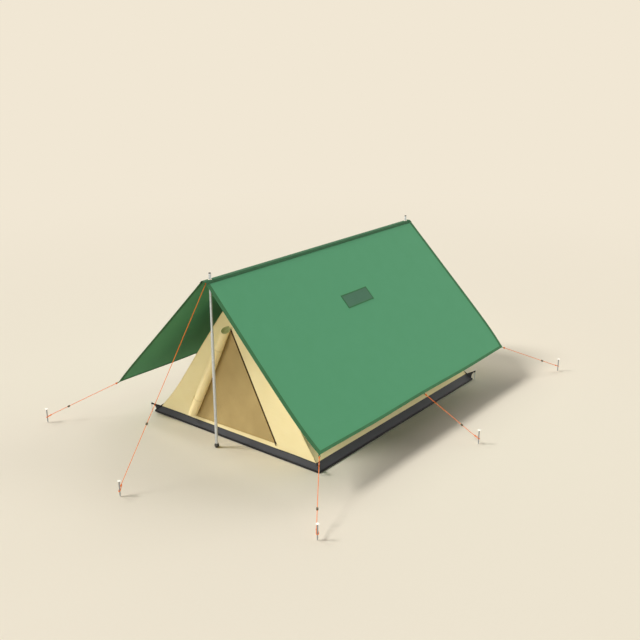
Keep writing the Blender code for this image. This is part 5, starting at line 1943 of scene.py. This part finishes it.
def roll_middle(share):
    """A point on the roll's axis."""
    x = ROLL_FOOT[0] + (ROLL_TOP[0] - ROLL_FOOT[0]) * share + ROLL_LEAN * math.sin(math.pi * share)
    height = ROLL_FOOT[1] + (ROLL_TOP[1] - ROLL_FOOT[1]) * share
    return on_wall(x, height, roll_radius(share) + 2 * GAP)


ROLL_LENGTH = (roll_middle(1) - roll_middle(0)).length
ROLL_UP = (roll_middle(1) - roll_middle(0)).normalized()
ROLL_OUT = (OUT_OF_FRONT - ROLL_UP * ROLL_UP.dot(OUT_OF_FRONT)).normalized()
ROLL_SIDE = ROLL_UP.cross(ROLL_OUT)


def round_roll(turn):
    """Direction away from the roll's axis."""
    return ROLL_OUT * math.cos(turn) + ROLL_SIDE * math.sin(turn)


def drawn_in(share):
    """How far the ties draw the roll in at a share of its length."""
    depth = 0.0
    for place in TIE_PLACES.values():
        away = abs(share - place) * ROLL_LENGTH
        depth += (TIE_THICKNESS + TIE_GRIP) * math.exp(-((away / TIE_REACH) ** 4))
    return depth


def roll_skin(share, turn):
    """A point of the roll's outside."""
    crease = math.sin(3 * turn + 9 * share) * 0.0005 + math.sin(11 * turn - 17 * share) * 0.00025
    bulge = noise.noise(Vector((math.cos(turn) * 2, math.sin(turn) * 2, share * 9))) * 0.0010
    lap = ROLL_LAP * (1 - turn / (2 * math.pi))
    radius = roll_radius(share) + 0.0008 - lap - drawn_in(share) + crease + min(0.0004, bulge)
    turn += LAP_FACES
    out = round_roll(turn) * radius
    foot_shift = (ROLL_FOOT_CUT - (roll_middle(0) + out).z) / ROLL_UP.z
    top_shift = -ROLL_TOP_SLANT * math.cos(turn) * radius - ROLL_TOP_DROP
    shift = foot_shift * math.exp(-share / ROLL_CUT_FADE)
    shift += top_shift * math.exp(-(1 - share) / ROLL_CUT_FADE)
    return roll_middle(share) + out + ROLL_UP * shift


TURNS = spaced(0, 2 * math.pi * (1 - 0.25 / ROLL_STEPS), ROLL_STEPS)


def end_rings(ring, way):
    """Rings that close an end, with the spiral of the cloth as a groove."""
    middle = sum(ring, Vector()) / len(ring)
    made = []
    for step in range(1, END_RINGS + 1):
        inwards = step / (END_RINGS + 1)
        row = []
        for turn, point in zip(TURNS, ring):
            phase = inwards * TURNS_OF_CLOTH + turn / (2 * math.pi)
            groove = GROOVE_DEPTH * (0.5 - 0.5 * math.cos(2 * math.pi * phase)) * min(1, step / 3)
            groove += ROLL_END_HOLLOW * min(1, step / 8) ** 2
            row.append(middle + (point - middle) * (1 - inwards) - ROLL_UP * way * groove)
        made.append(row)
    return made


shares = [0.0, 0.004, *spaced(0.01, 0.99, ROLL_RINGS), 0.996, 1.0]
rings = [[roll_skin(share, turn) for turn in TURNS] for share in shares]
rings = [*reversed(end_rings(rings[0], -1)), *rings, *end_rings(rings[-1], 1)]
lengthwise = ROLL_LENGTH / ROLL_RINGS
crosswise = ROLL_GIRTH / ROLL_STEPS
roll = skin_mesh(rings, lambda row, step: (row * lengthwise, step * crosswise))
new_piece("rolled_cotton_door", roll, COTTON, nodes=["rolled_door"])
# The end faces take the olive cotton: painted shade between the turns
roll.materials.append(ROLL_END_SHADE)
for face in roll.polygons:
    row = face.index // ROLL_STEPS
    face.material_index = int(row < END_RINGS - 1 or row > len(rings) - END_RINGS - 1)
print("roll is", round(ROLL_LENGTH, 3), "m long with", len(roll.polygons), "faces")

# %% [markdown]
# Each tie is a cotton tape round the roll, closed in a bow. A flat strip swept along a path keeps
# its width in one direction, so the ring, the two loops and the two ends all come from the same
# section.

# %% Door ties
TAPE_SECTION = flat_section(0.0060, 0.0005)
BOW_SECTION = [(a * 0.7, b) for a, b in TAPE_SECTION]
BOW_FACES = math.radians(-75)
# Half the reach of a loop of the bow, how far it opens, and how far it and the tails hang down
LOOP_REACH = 0.0115
LOOP_OPENING = 0.0042
LOOP_DROP = 0.006
TAIL_DROP = 0.034


def tape_mesh(points, flat, section, closed=False):
    """A flat tape along points. Its width lies along flat as nearly as it can."""
    stations = []
    count = len(points)
    for index, point in enumerate(points):
        before = points[index - 1] if closed or index else point
        after = points[(index + 1) % count] if closed or index < count - 1 else point
        along = (after - before).normalized()
        side = (flat - along * flat.dot(along)).normalized()
        stations.append((point, side, along.cross(side)))
    return sweep_mesh(stations, section, closed)


for name, place in TIE_PLACES.items():
    middle = roll_middle(place)
    radius = roll_radius(place) - TIE_THICKNESS * 0.55
    ring = [middle + round_roll(turn) * radius for turn in spaced(0, 2 * math.pi, 49)[:-1]]
    face = round_roll(BOW_FACES)
    beside = ROLL_UP.cross(face)
    front = middle + face * (radius + 0.0022)
    meshes = [tape_mesh(ring, ROLL_UP, TAPE_SECTION, True)]
    for hand in (-1, 1):
        loop = []
        for turn in spaced(0, 2 * math.pi, 17):
            away = 1 - math.cos(turn)
            out = LOOP_OPENING * math.sin(turn) - LOOP_REACH * away * 0.35
            drop = ROLL_UP * LOOP_DROP * away / 2
            loop.append(front + beside * hand * LOOP_REACH * away - drop + face * out)
        meshes.append(tape_mesh(loop, ROLL_UP, BOW_SECTION))
        tail = []
        for share in spaced(0, 1, 9):
            away = beside * hand * (0.002 + 0.012 * share**0.8)
            lift = face * (0.0012 - 0.0025 * share)
            tail.append(front - ROLL_UP * TAIL_DROP * share + away + lift)
        meshes.append(tape_mesh(tail, beside, BOW_SECTION))
    knot = ring_mesh(0.0028, 0.0022, 0.9, 16)
    meshes.append(placed(knot, pointing(beside, face, front)))
    new_piece(f"door_tie_bow_{name}", joined_mesh(meshes), COTTON_TAPE, nodes=[f"door_tie_{name}"])
print("ties:", len(TIE_PLACES))

# %% [markdown]
# Dark webbing holds the inner tent. At each corner of the tub a strap stands on edge: it runs out
# to the floor peg, loops round it and comes back, and its sewn end climbs the corner seam as a
# pointed ear. A strap at each end of the ridge hangs on a ring round the pole.

# %% Webbing
STRAP_LEAF = 0.0014
STRAP_SECTION = flat_section(0.00475, 0.0006)
STRAP_AT_PEG = 0.066
STRAP_AT_TUB = Vector((0.010, 0.008, 0.0005))
EAR_SHARES = spaced(0, 0.030, 7)
EAR_REACH = 0.017
EAR_HALF_THICKNESS = 0.0011
GUSSET_THICKNESS = 0.0012
RING_WIRE = 0.0015
RING_RADIUS = 0.008 + GAP + 2 * RING_WIRE
RIDGE_STRAP_SECTION = [(a * 1.3, b * 0.75) for a, b in flat_section(0.0058, 0.0009)]
RIDGE_STRAP_SAG = 0.002


def ear_mesh(side, fore, outwards):
    """The pointed end of a corner strap, standing on the corner seam."""
    level = outwards.cross(UP).normalized() * EAR_HALF_THICKNESS
    inner = [seam_point(side, fore, share, 0.0006) for share in EAR_SHARES]
    outer = [
        point + outwards * EAR_REACH * (1 - index / (len(inner) - 1)) ** 1.3 + UP * 0.0010
        for index, point in enumerate(inner)
    ]
    inner = [inner[0] - UP * 0.006, *inner]
    outer = [outer[0] - UP * 0.008, *outer]
    count = len(inner)
    points = [p + hand * level for hand in (-1, 1) for row in (inner, outer) for p in row]
    faces = []
    for row in range(count - 1):
        here = [row, row + 1, count + row + 1, count + row]
        faces.append(tuple(here[::-1]))
        faces.append(tuple(corner + 2 * count for corner in here))
    rim = [*range(count), *range(2 * count - 1, count - 1, -1)]
    for corner, beside in zip(rim, [*rim[1:], rim[0]]):
        faces.append((corner, beside, beside + 2 * count, corner + 2 * count))
    uvs = [(points[corner].z, points[corner].y) for face in faces for corner in face]
    mesh = mesh_from(points, faces, uvs)
    face_out(mesh)
    return mesh


def gusset_mesh(side, fore, strap_end):
    """A triangle of coated cloth between a tub corner and its strap."""
    foot = Vector((side * (TUB_FOOT.x - 0.013), fore * (TUB_FOOT.y - 0.013), 0.004))
    seam = Vector((side * (TUB_TOP.x - 0.010), fore * (TUB_TOP.y - 0.010), TUB_TOP.z - 0.001))

    def point(up, out):
        """A point of the cloth. Its outer edge is drawn in by its own pull."""
        inner = foot.lerp(seam, up)
        outer = foot.lerp(strap_end, up).lerp(inner, 0.14 * math.sin(math.pi * up))
        return inner.lerp(outer, out)

    sheet = grid_mesh(
        spaced(0.04, 1, 12), spaced(0, 1, 9), point, lambda up, out: (up * 0.06, up * out * 0.07)
    )
    return thickened(sheet, GUSSET_THICKNESS)


for end, fore in ENDS.items():
    for name, side in SIDES.items():
        to_corner = Vector((side, fore, 1))
        top = (TUB_TOP + STRAP_AT_TUB) * to_corner
        peg = Vector((side * FLOOR_PEG.x, fore * FLOOR_PEG.y, STRAP_AT_PEG))
        level_out = Vector((peg.x - top.x, peg.y - top.y, 0)).normalized()
        across = level_out.cross(UP)
        grip = FLOOR_PEG_RADIUS + STRAP_LEAF / 2 + 2 * GAP
        loop = [
            peg + (level_out * math.cos(turn) + across * math.sin(turn)) * grip
            for turn in spaced(math.radians(-115), math.radians(115), 14)
        ]
        leaf = across * (STRAP_LEAF * 0.62)
        path = [top - leaf, top.lerp(peg, 0.45) - leaf, top.lerp(peg, 0.80) - leaf * 1.3]
        path += [*loop, top.lerp(peg, 0.80) + leaf * 1.3, top.lerp(peg, 0.45) + leaf, top + leaf]
        strap = [tape_mesh(path, UP, STRAP_SECTION), ear_mesh(side, fore, level_out)]
        new_piece(f"corner_strap_{end}_{name}", joined_mesh(strap), WEBBING)
        gusset = gusset_mesh(side, fore, top.lerp(peg, 0.84) - UP * 0.002)
        new_piece(f"tub_gusset_{end}_{name}", gusset, COATED_CLOTH)
    ring_height = RIDGE_HEIGHT - BAND_THICKNESS - GAP - RING_WIRE
    ring = ring_mesh(RING_RADIUS, RING_WIRE * 0.96, 1.0, 40)
    start = Vector((0, fore * (POLE_FROM_CENTRE - RING_RADIUS), ring_height))
    finish = Vector((0, fore * (INNER_RIDGE.y + 3 * GAP), INNER_RIDGE.z - 3 * GAP))
    strap = [
        start.lerp(finish, share) - UP * RIDGE_STRAP_SAG * 4 * share * (1 - share)
        for share in spaced(0.004, 1, 20)
    ]
    hanger = tape_mesh(strap, -LEFT, RIDGE_STRAP_SECTION)
    new_piece(f"ridge_strap_{end}", hanger, WEBBING, nodes=[f"apex_hanger_{end}"])
    fold = placed(ring_mesh(0.0026, 0.0007, 11.0, 24), pointing(-LEFT, UP, start))
    new_piece(f"ridge_strap_fold_{end}", fold, WEBBING)
    ring = moved(ring, 0, fore * POLE_FROM_CENTRE, ring_height)
    new_piece(f"ridge_ring_{end}", ring, NICKEL)
print("ridge straps:", len(ENDS), "corner straps:", len(ENDS) * len(SIDES))

# %% [markdown]
# Poles, pegs and runners are turned shapes: a profile spun round an axis. Real rims are rolled and
# edges are never sharp, so each profile has short arcs where metal was bent or a mould had a
# radius.

# %% Poles
POLE_HEIGHT = 1.222
POLE_JOINT_HEIGHT = 0.815
UPPER_TUBE_RADIUS = 0.008
TUBE_WALL = 0.0015
LOWER_BORE = 0.0085
LOWER_TUBE_RADIUS = 0.010
INSERTION = 0.160
STOP_RADIUS = 0.0135
STOP_HEIGHT = 0.012
CAP_HEIGHT = 0.006
PLUG_DEPTH = 0.012
SHOE_RADIUS = 0.016
SHOE_HEIGHT = 0.030
SHOE_SOLE = 0.006

STOP_TOP = RIDGE_HEIGHT - BAND_THICKNESS - GAP - 0.003 - GAP
STOP_FOOT = STOP_TOP - STOP_HEIGHT
TUBE_TOP = POLE_HEIGHT - CAP_HEIGHT
TUBE_FOOT = POLE_JOINT_HEIGHT - INSERTION
BORE = UPPER_TUBE_RADIUS - TUBE_WALL
SOCKET = LOWER_TUBE_RADIUS + GAP
# The lower tube has a low bead under its mouth, and the mouth's rim is rolled
LOWER_PROFILE = [
    (LOWER_TUBE_RADIUS, SHOE_SOLE + GAP),
    (LOWER_TUBE_RADIUS, POLE_JOINT_HEIGHT - 0.016),
    *arc((LOWER_TUBE_RADIUS + 0.0002, POLE_JOINT_HEIGHT - 0.013), 0.0006, -60, 60),
    (LOWER_TUBE_RADIUS, POLE_JOINT_HEIGHT - 0.010),
    (LOWER_TUBE_RADIUS, POLE_JOINT_HEIGHT - 0.0008),
    *arc((LOWER_TUBE_RADIUS - 0.00075, POLE_JOINT_HEIGHT - 0.00075), 0.00075, 0, 180, 9),
    (LOWER_BORE, SHOE_SOLE + GAP),
]
UPPER_PROFILE = [
    (UPPER_TUBE_RADIUS, TUBE_FOOT),
    (UPPER_TUBE_RADIUS, STOP_FOOT),
    *arc((UPPER_TUBE_RADIUS + 0.0030, STOP_TOP - STOP_HEIGHT * 0.5), 0.0025, -55, 0, 6),
    *arc((STOP_RADIUS - 0.001, STOP_TOP - 0.001), 0.001, 0, 90, 5),
    (UPPER_TUBE_RADIUS, STOP_TOP),
    (UPPER_TUBE_RADIUS, TUBE_TOP),
    (BORE, TUBE_TOP),
    (BORE, TUBE_FOOT),
]
SHOE_PROFILE = [
    (0, 0),
    *arc((SHOE_RADIUS * 0.62, 0.0015), 0.0015, -90, -30, 4),
    *arc((SHOE_RADIUS - 0.003, SHOE_HEIGHT * 0.40), 0.003, -35, 0, 4),
    *arc((SHOE_RADIUS - 0.003, SHOE_HEIGHT * 0.60), 0.003, 0, 50, 5),
    (SOCKET + 0.0028, SHOE_HEIGHT * 0.78),
    (SOCKET + 0.0024, SHOE_HEIGHT - 0.0010),
    *arc((SOCKET + 0.0012, SHOE_HEIGHT - 0.0010), 0.0010, 10, 170, 6),
    (SOCKET, SHOE_HEIGHT - 0.002),
    (SOCKET, SHOE_SOLE),
    (0, SHOE_SOLE),
]
CAP_PROFILE = [
    (0, POLE_HEIGHT),
    (UPPER_TUBE_RADIUS * 0.45, POLE_HEIGHT - 0.0001),
    *arc((UPPER_TUBE_RADIUS - 0.0030, POLE_HEIGHT - 0.0031), 0.0030, 80, 0, 8),
    (UPPER_TUBE_RADIUS, TUBE_TOP + GAP),
    (BORE - GAP, TUBE_TOP + GAP),
    (BORE - GAP, TUBE_TOP - PLUG_DEPTH + 0.001),
    (BORE - 0.0012, TUBE_TOP - PLUG_DEPTH),
    (0, TUBE_TOP - PLUG_DEPTH),
]
POLE_PARTS = (
    ("lower", LOWER_PROFILE, ZINC, None),
    ("foot", SHOE_PROFILE, RUBBER, None),
    ("upper", UPPER_PROFILE, ZINC, "pole_top"),
    ("cap", CAP_PROFILE, RUBBER, "pole_top"),
)
for end, fore in ENDS.items():
    for part, profile, material, moving in POLE_PARTS:
        body = f"{moving}_{end}" if moving else "tent"
        mesh = moved(turned_mesh(profile, 48), 0, fore * POLE_FROM_CENTRE, 0)
        new_piece(f"{part}_of_pole_{end}", mesh, material, body, [f"pole_{part}_{end}"], 30)
print("pole tips stand", POLE_HEIGHT, "m high")

# %% [markdown]
# A guy peg has a flat round head that was pressed and then dipped. Its top is drawn almost white:
# a painted highlight where the light falls on it. Both are one turned shape, and the faces of the
# head take the second material. The runner is a moulded bead with a slight belly, free to slide on its cord.

# %% Pegs and runners
HEAD_RADIUS = 0.011
HEAD_DEPTH = 0.0042
FLOOR_PEG_HEIGHT = 0.080
RUNNER_HALF_LENGTH = 0.009
RUNNER_RADIUS = 0.0066
RUNNER_BORE = 0.0026
RUNNER_ROUNDING = 0.0016
# Zinc on the peg shanks: duller and darker than the tubes
PEG_ZINC = metal("galvanised_steel_peg", "#a9adb0", "#969b9e", 0.006, 0.45, 0.6, True)
# Painted highlight on the flat heads: almost white, as where the light falls on them
PEG_HEAD_HIGHLIGHT = metal("peg_head_painted_highlight", "#f4f1e6", "#e4e1d4", 0.004, 0.5, 0.0, True)

PEG_PROFILE = [
    (0, PEG_HEIGHT),
    (HEAD_RADIUS * 0.6, PEG_HEIGHT - 0.0001),
    *arc((HEAD_RADIUS - 0.0016, PEG_HEIGHT - 0.0018), 0.0016, 80, -80, 8),
    (PEG_RADIUS + 0.0010, PEG_HEIGHT - 0.0040),
    (PEG_RADIUS, PEG_HEIGHT - 0.0052),
    (PEG_RADIUS, 0.014),
    (PEG_RADIUS - 0.0004, 0.0105),
    (0.0030, 0.0),
    (0, 0),
]
FLOOR_PEG_PROFILE = [
    (0, FLOOR_PEG_HEIGHT),
    (0.0036, FLOOR_PEG_HEIGHT - 0.0001),
    *arc((0.0040, FLOOR_PEG_HEIGHT - 0.0011), 0.0010, 70, -70, 6),
    (FLOOR_PEG_RADIUS, FLOOR_PEG_HEIGHT - 0.0045),
    (FLOOR_PEG_RADIUS, 0.0),
    (0, 0),
]
bottom = arc((0.0046, RUNNER_ROUNDING - RUNNER_HALF_LENGTH), RUNNER_ROUNDING, -90, -20, 4)
belly = [
    (RUNNER_RADIUS + 0.0006 * math.cos(math.pi * share), share * RUNNER_HALF_LENGTH)
    for share in spaced(-0.72, 0.72, 15)
]
RUNNER_PROFILE = [
    (RUNNER_BORE, -RUNNER_HALF_LENGTH),
    *bottom,
    *belly,
    *[(radius, -height) for radius, height in reversed(bottom)],
    (RUNNER_BORE, RUNNER_HALF_LENGTH),
]

for name, (held, peg) in GUYS.items():
    shank = moved(turned_mesh(PEG_PROFILE, 36), *peg)
    new_piece(f"steel_peg_{name}", shank, PEG_ZINC, nodes=[f"guy_peg_{name}"])
    shank.materials.append(PEG_HEAD_HIGHLIGHT)
    # The head's faces take the painted highlight
    for face in shank.polygons:
        face.material_index = int(face.center.z > PEG_HEIGHT - HEAD_DEPTH)
    points, touch = guy_route(held, peg)
    back = (points[0] - points[touch]).normalized()
    spot = points[touch] + back * RUNNER_FROM_PEG[name.split("_")[0]]
    bead = placed(turned_mesh(RUNNER_PROFILE, 36), pointing(back, UP, spot))
    runner = f"runner_{name}"
    new_piece(f"runner_bead_{name}", bead, RUNNER_PLASTIC, runner, [f"guy_{runner}"])
for end, fore in ENDS.items():
    for name, side in SIDES.items():
        peg = moved(turned_mesh(FLOOR_PEG_PROFILE, 28), side * FLOOR_PEG.x, fore * FLOOR_PEG.y, 0)
        new_piece(f"thin_peg_{end}_{name}", peg, ZINC, nodes=[f"floor_peg_{end}_{name}"])
shown = [node for node, item in frame["nodes"].items() if not item.hide_render]
print("pegs:", len(GUYS) + 4, "runners:", len(GUYS), "solids still showing:", shown)

# %% Measure and finish
DRESSED_BOX = [list(corner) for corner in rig.bounds()]
with open("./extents.json", "w") as size_file:
    json.dump({"cad": CAD_BOX, "dressed": DRESSED_BOX}, size_file)
print("dressed box", DRESSED_BOX)
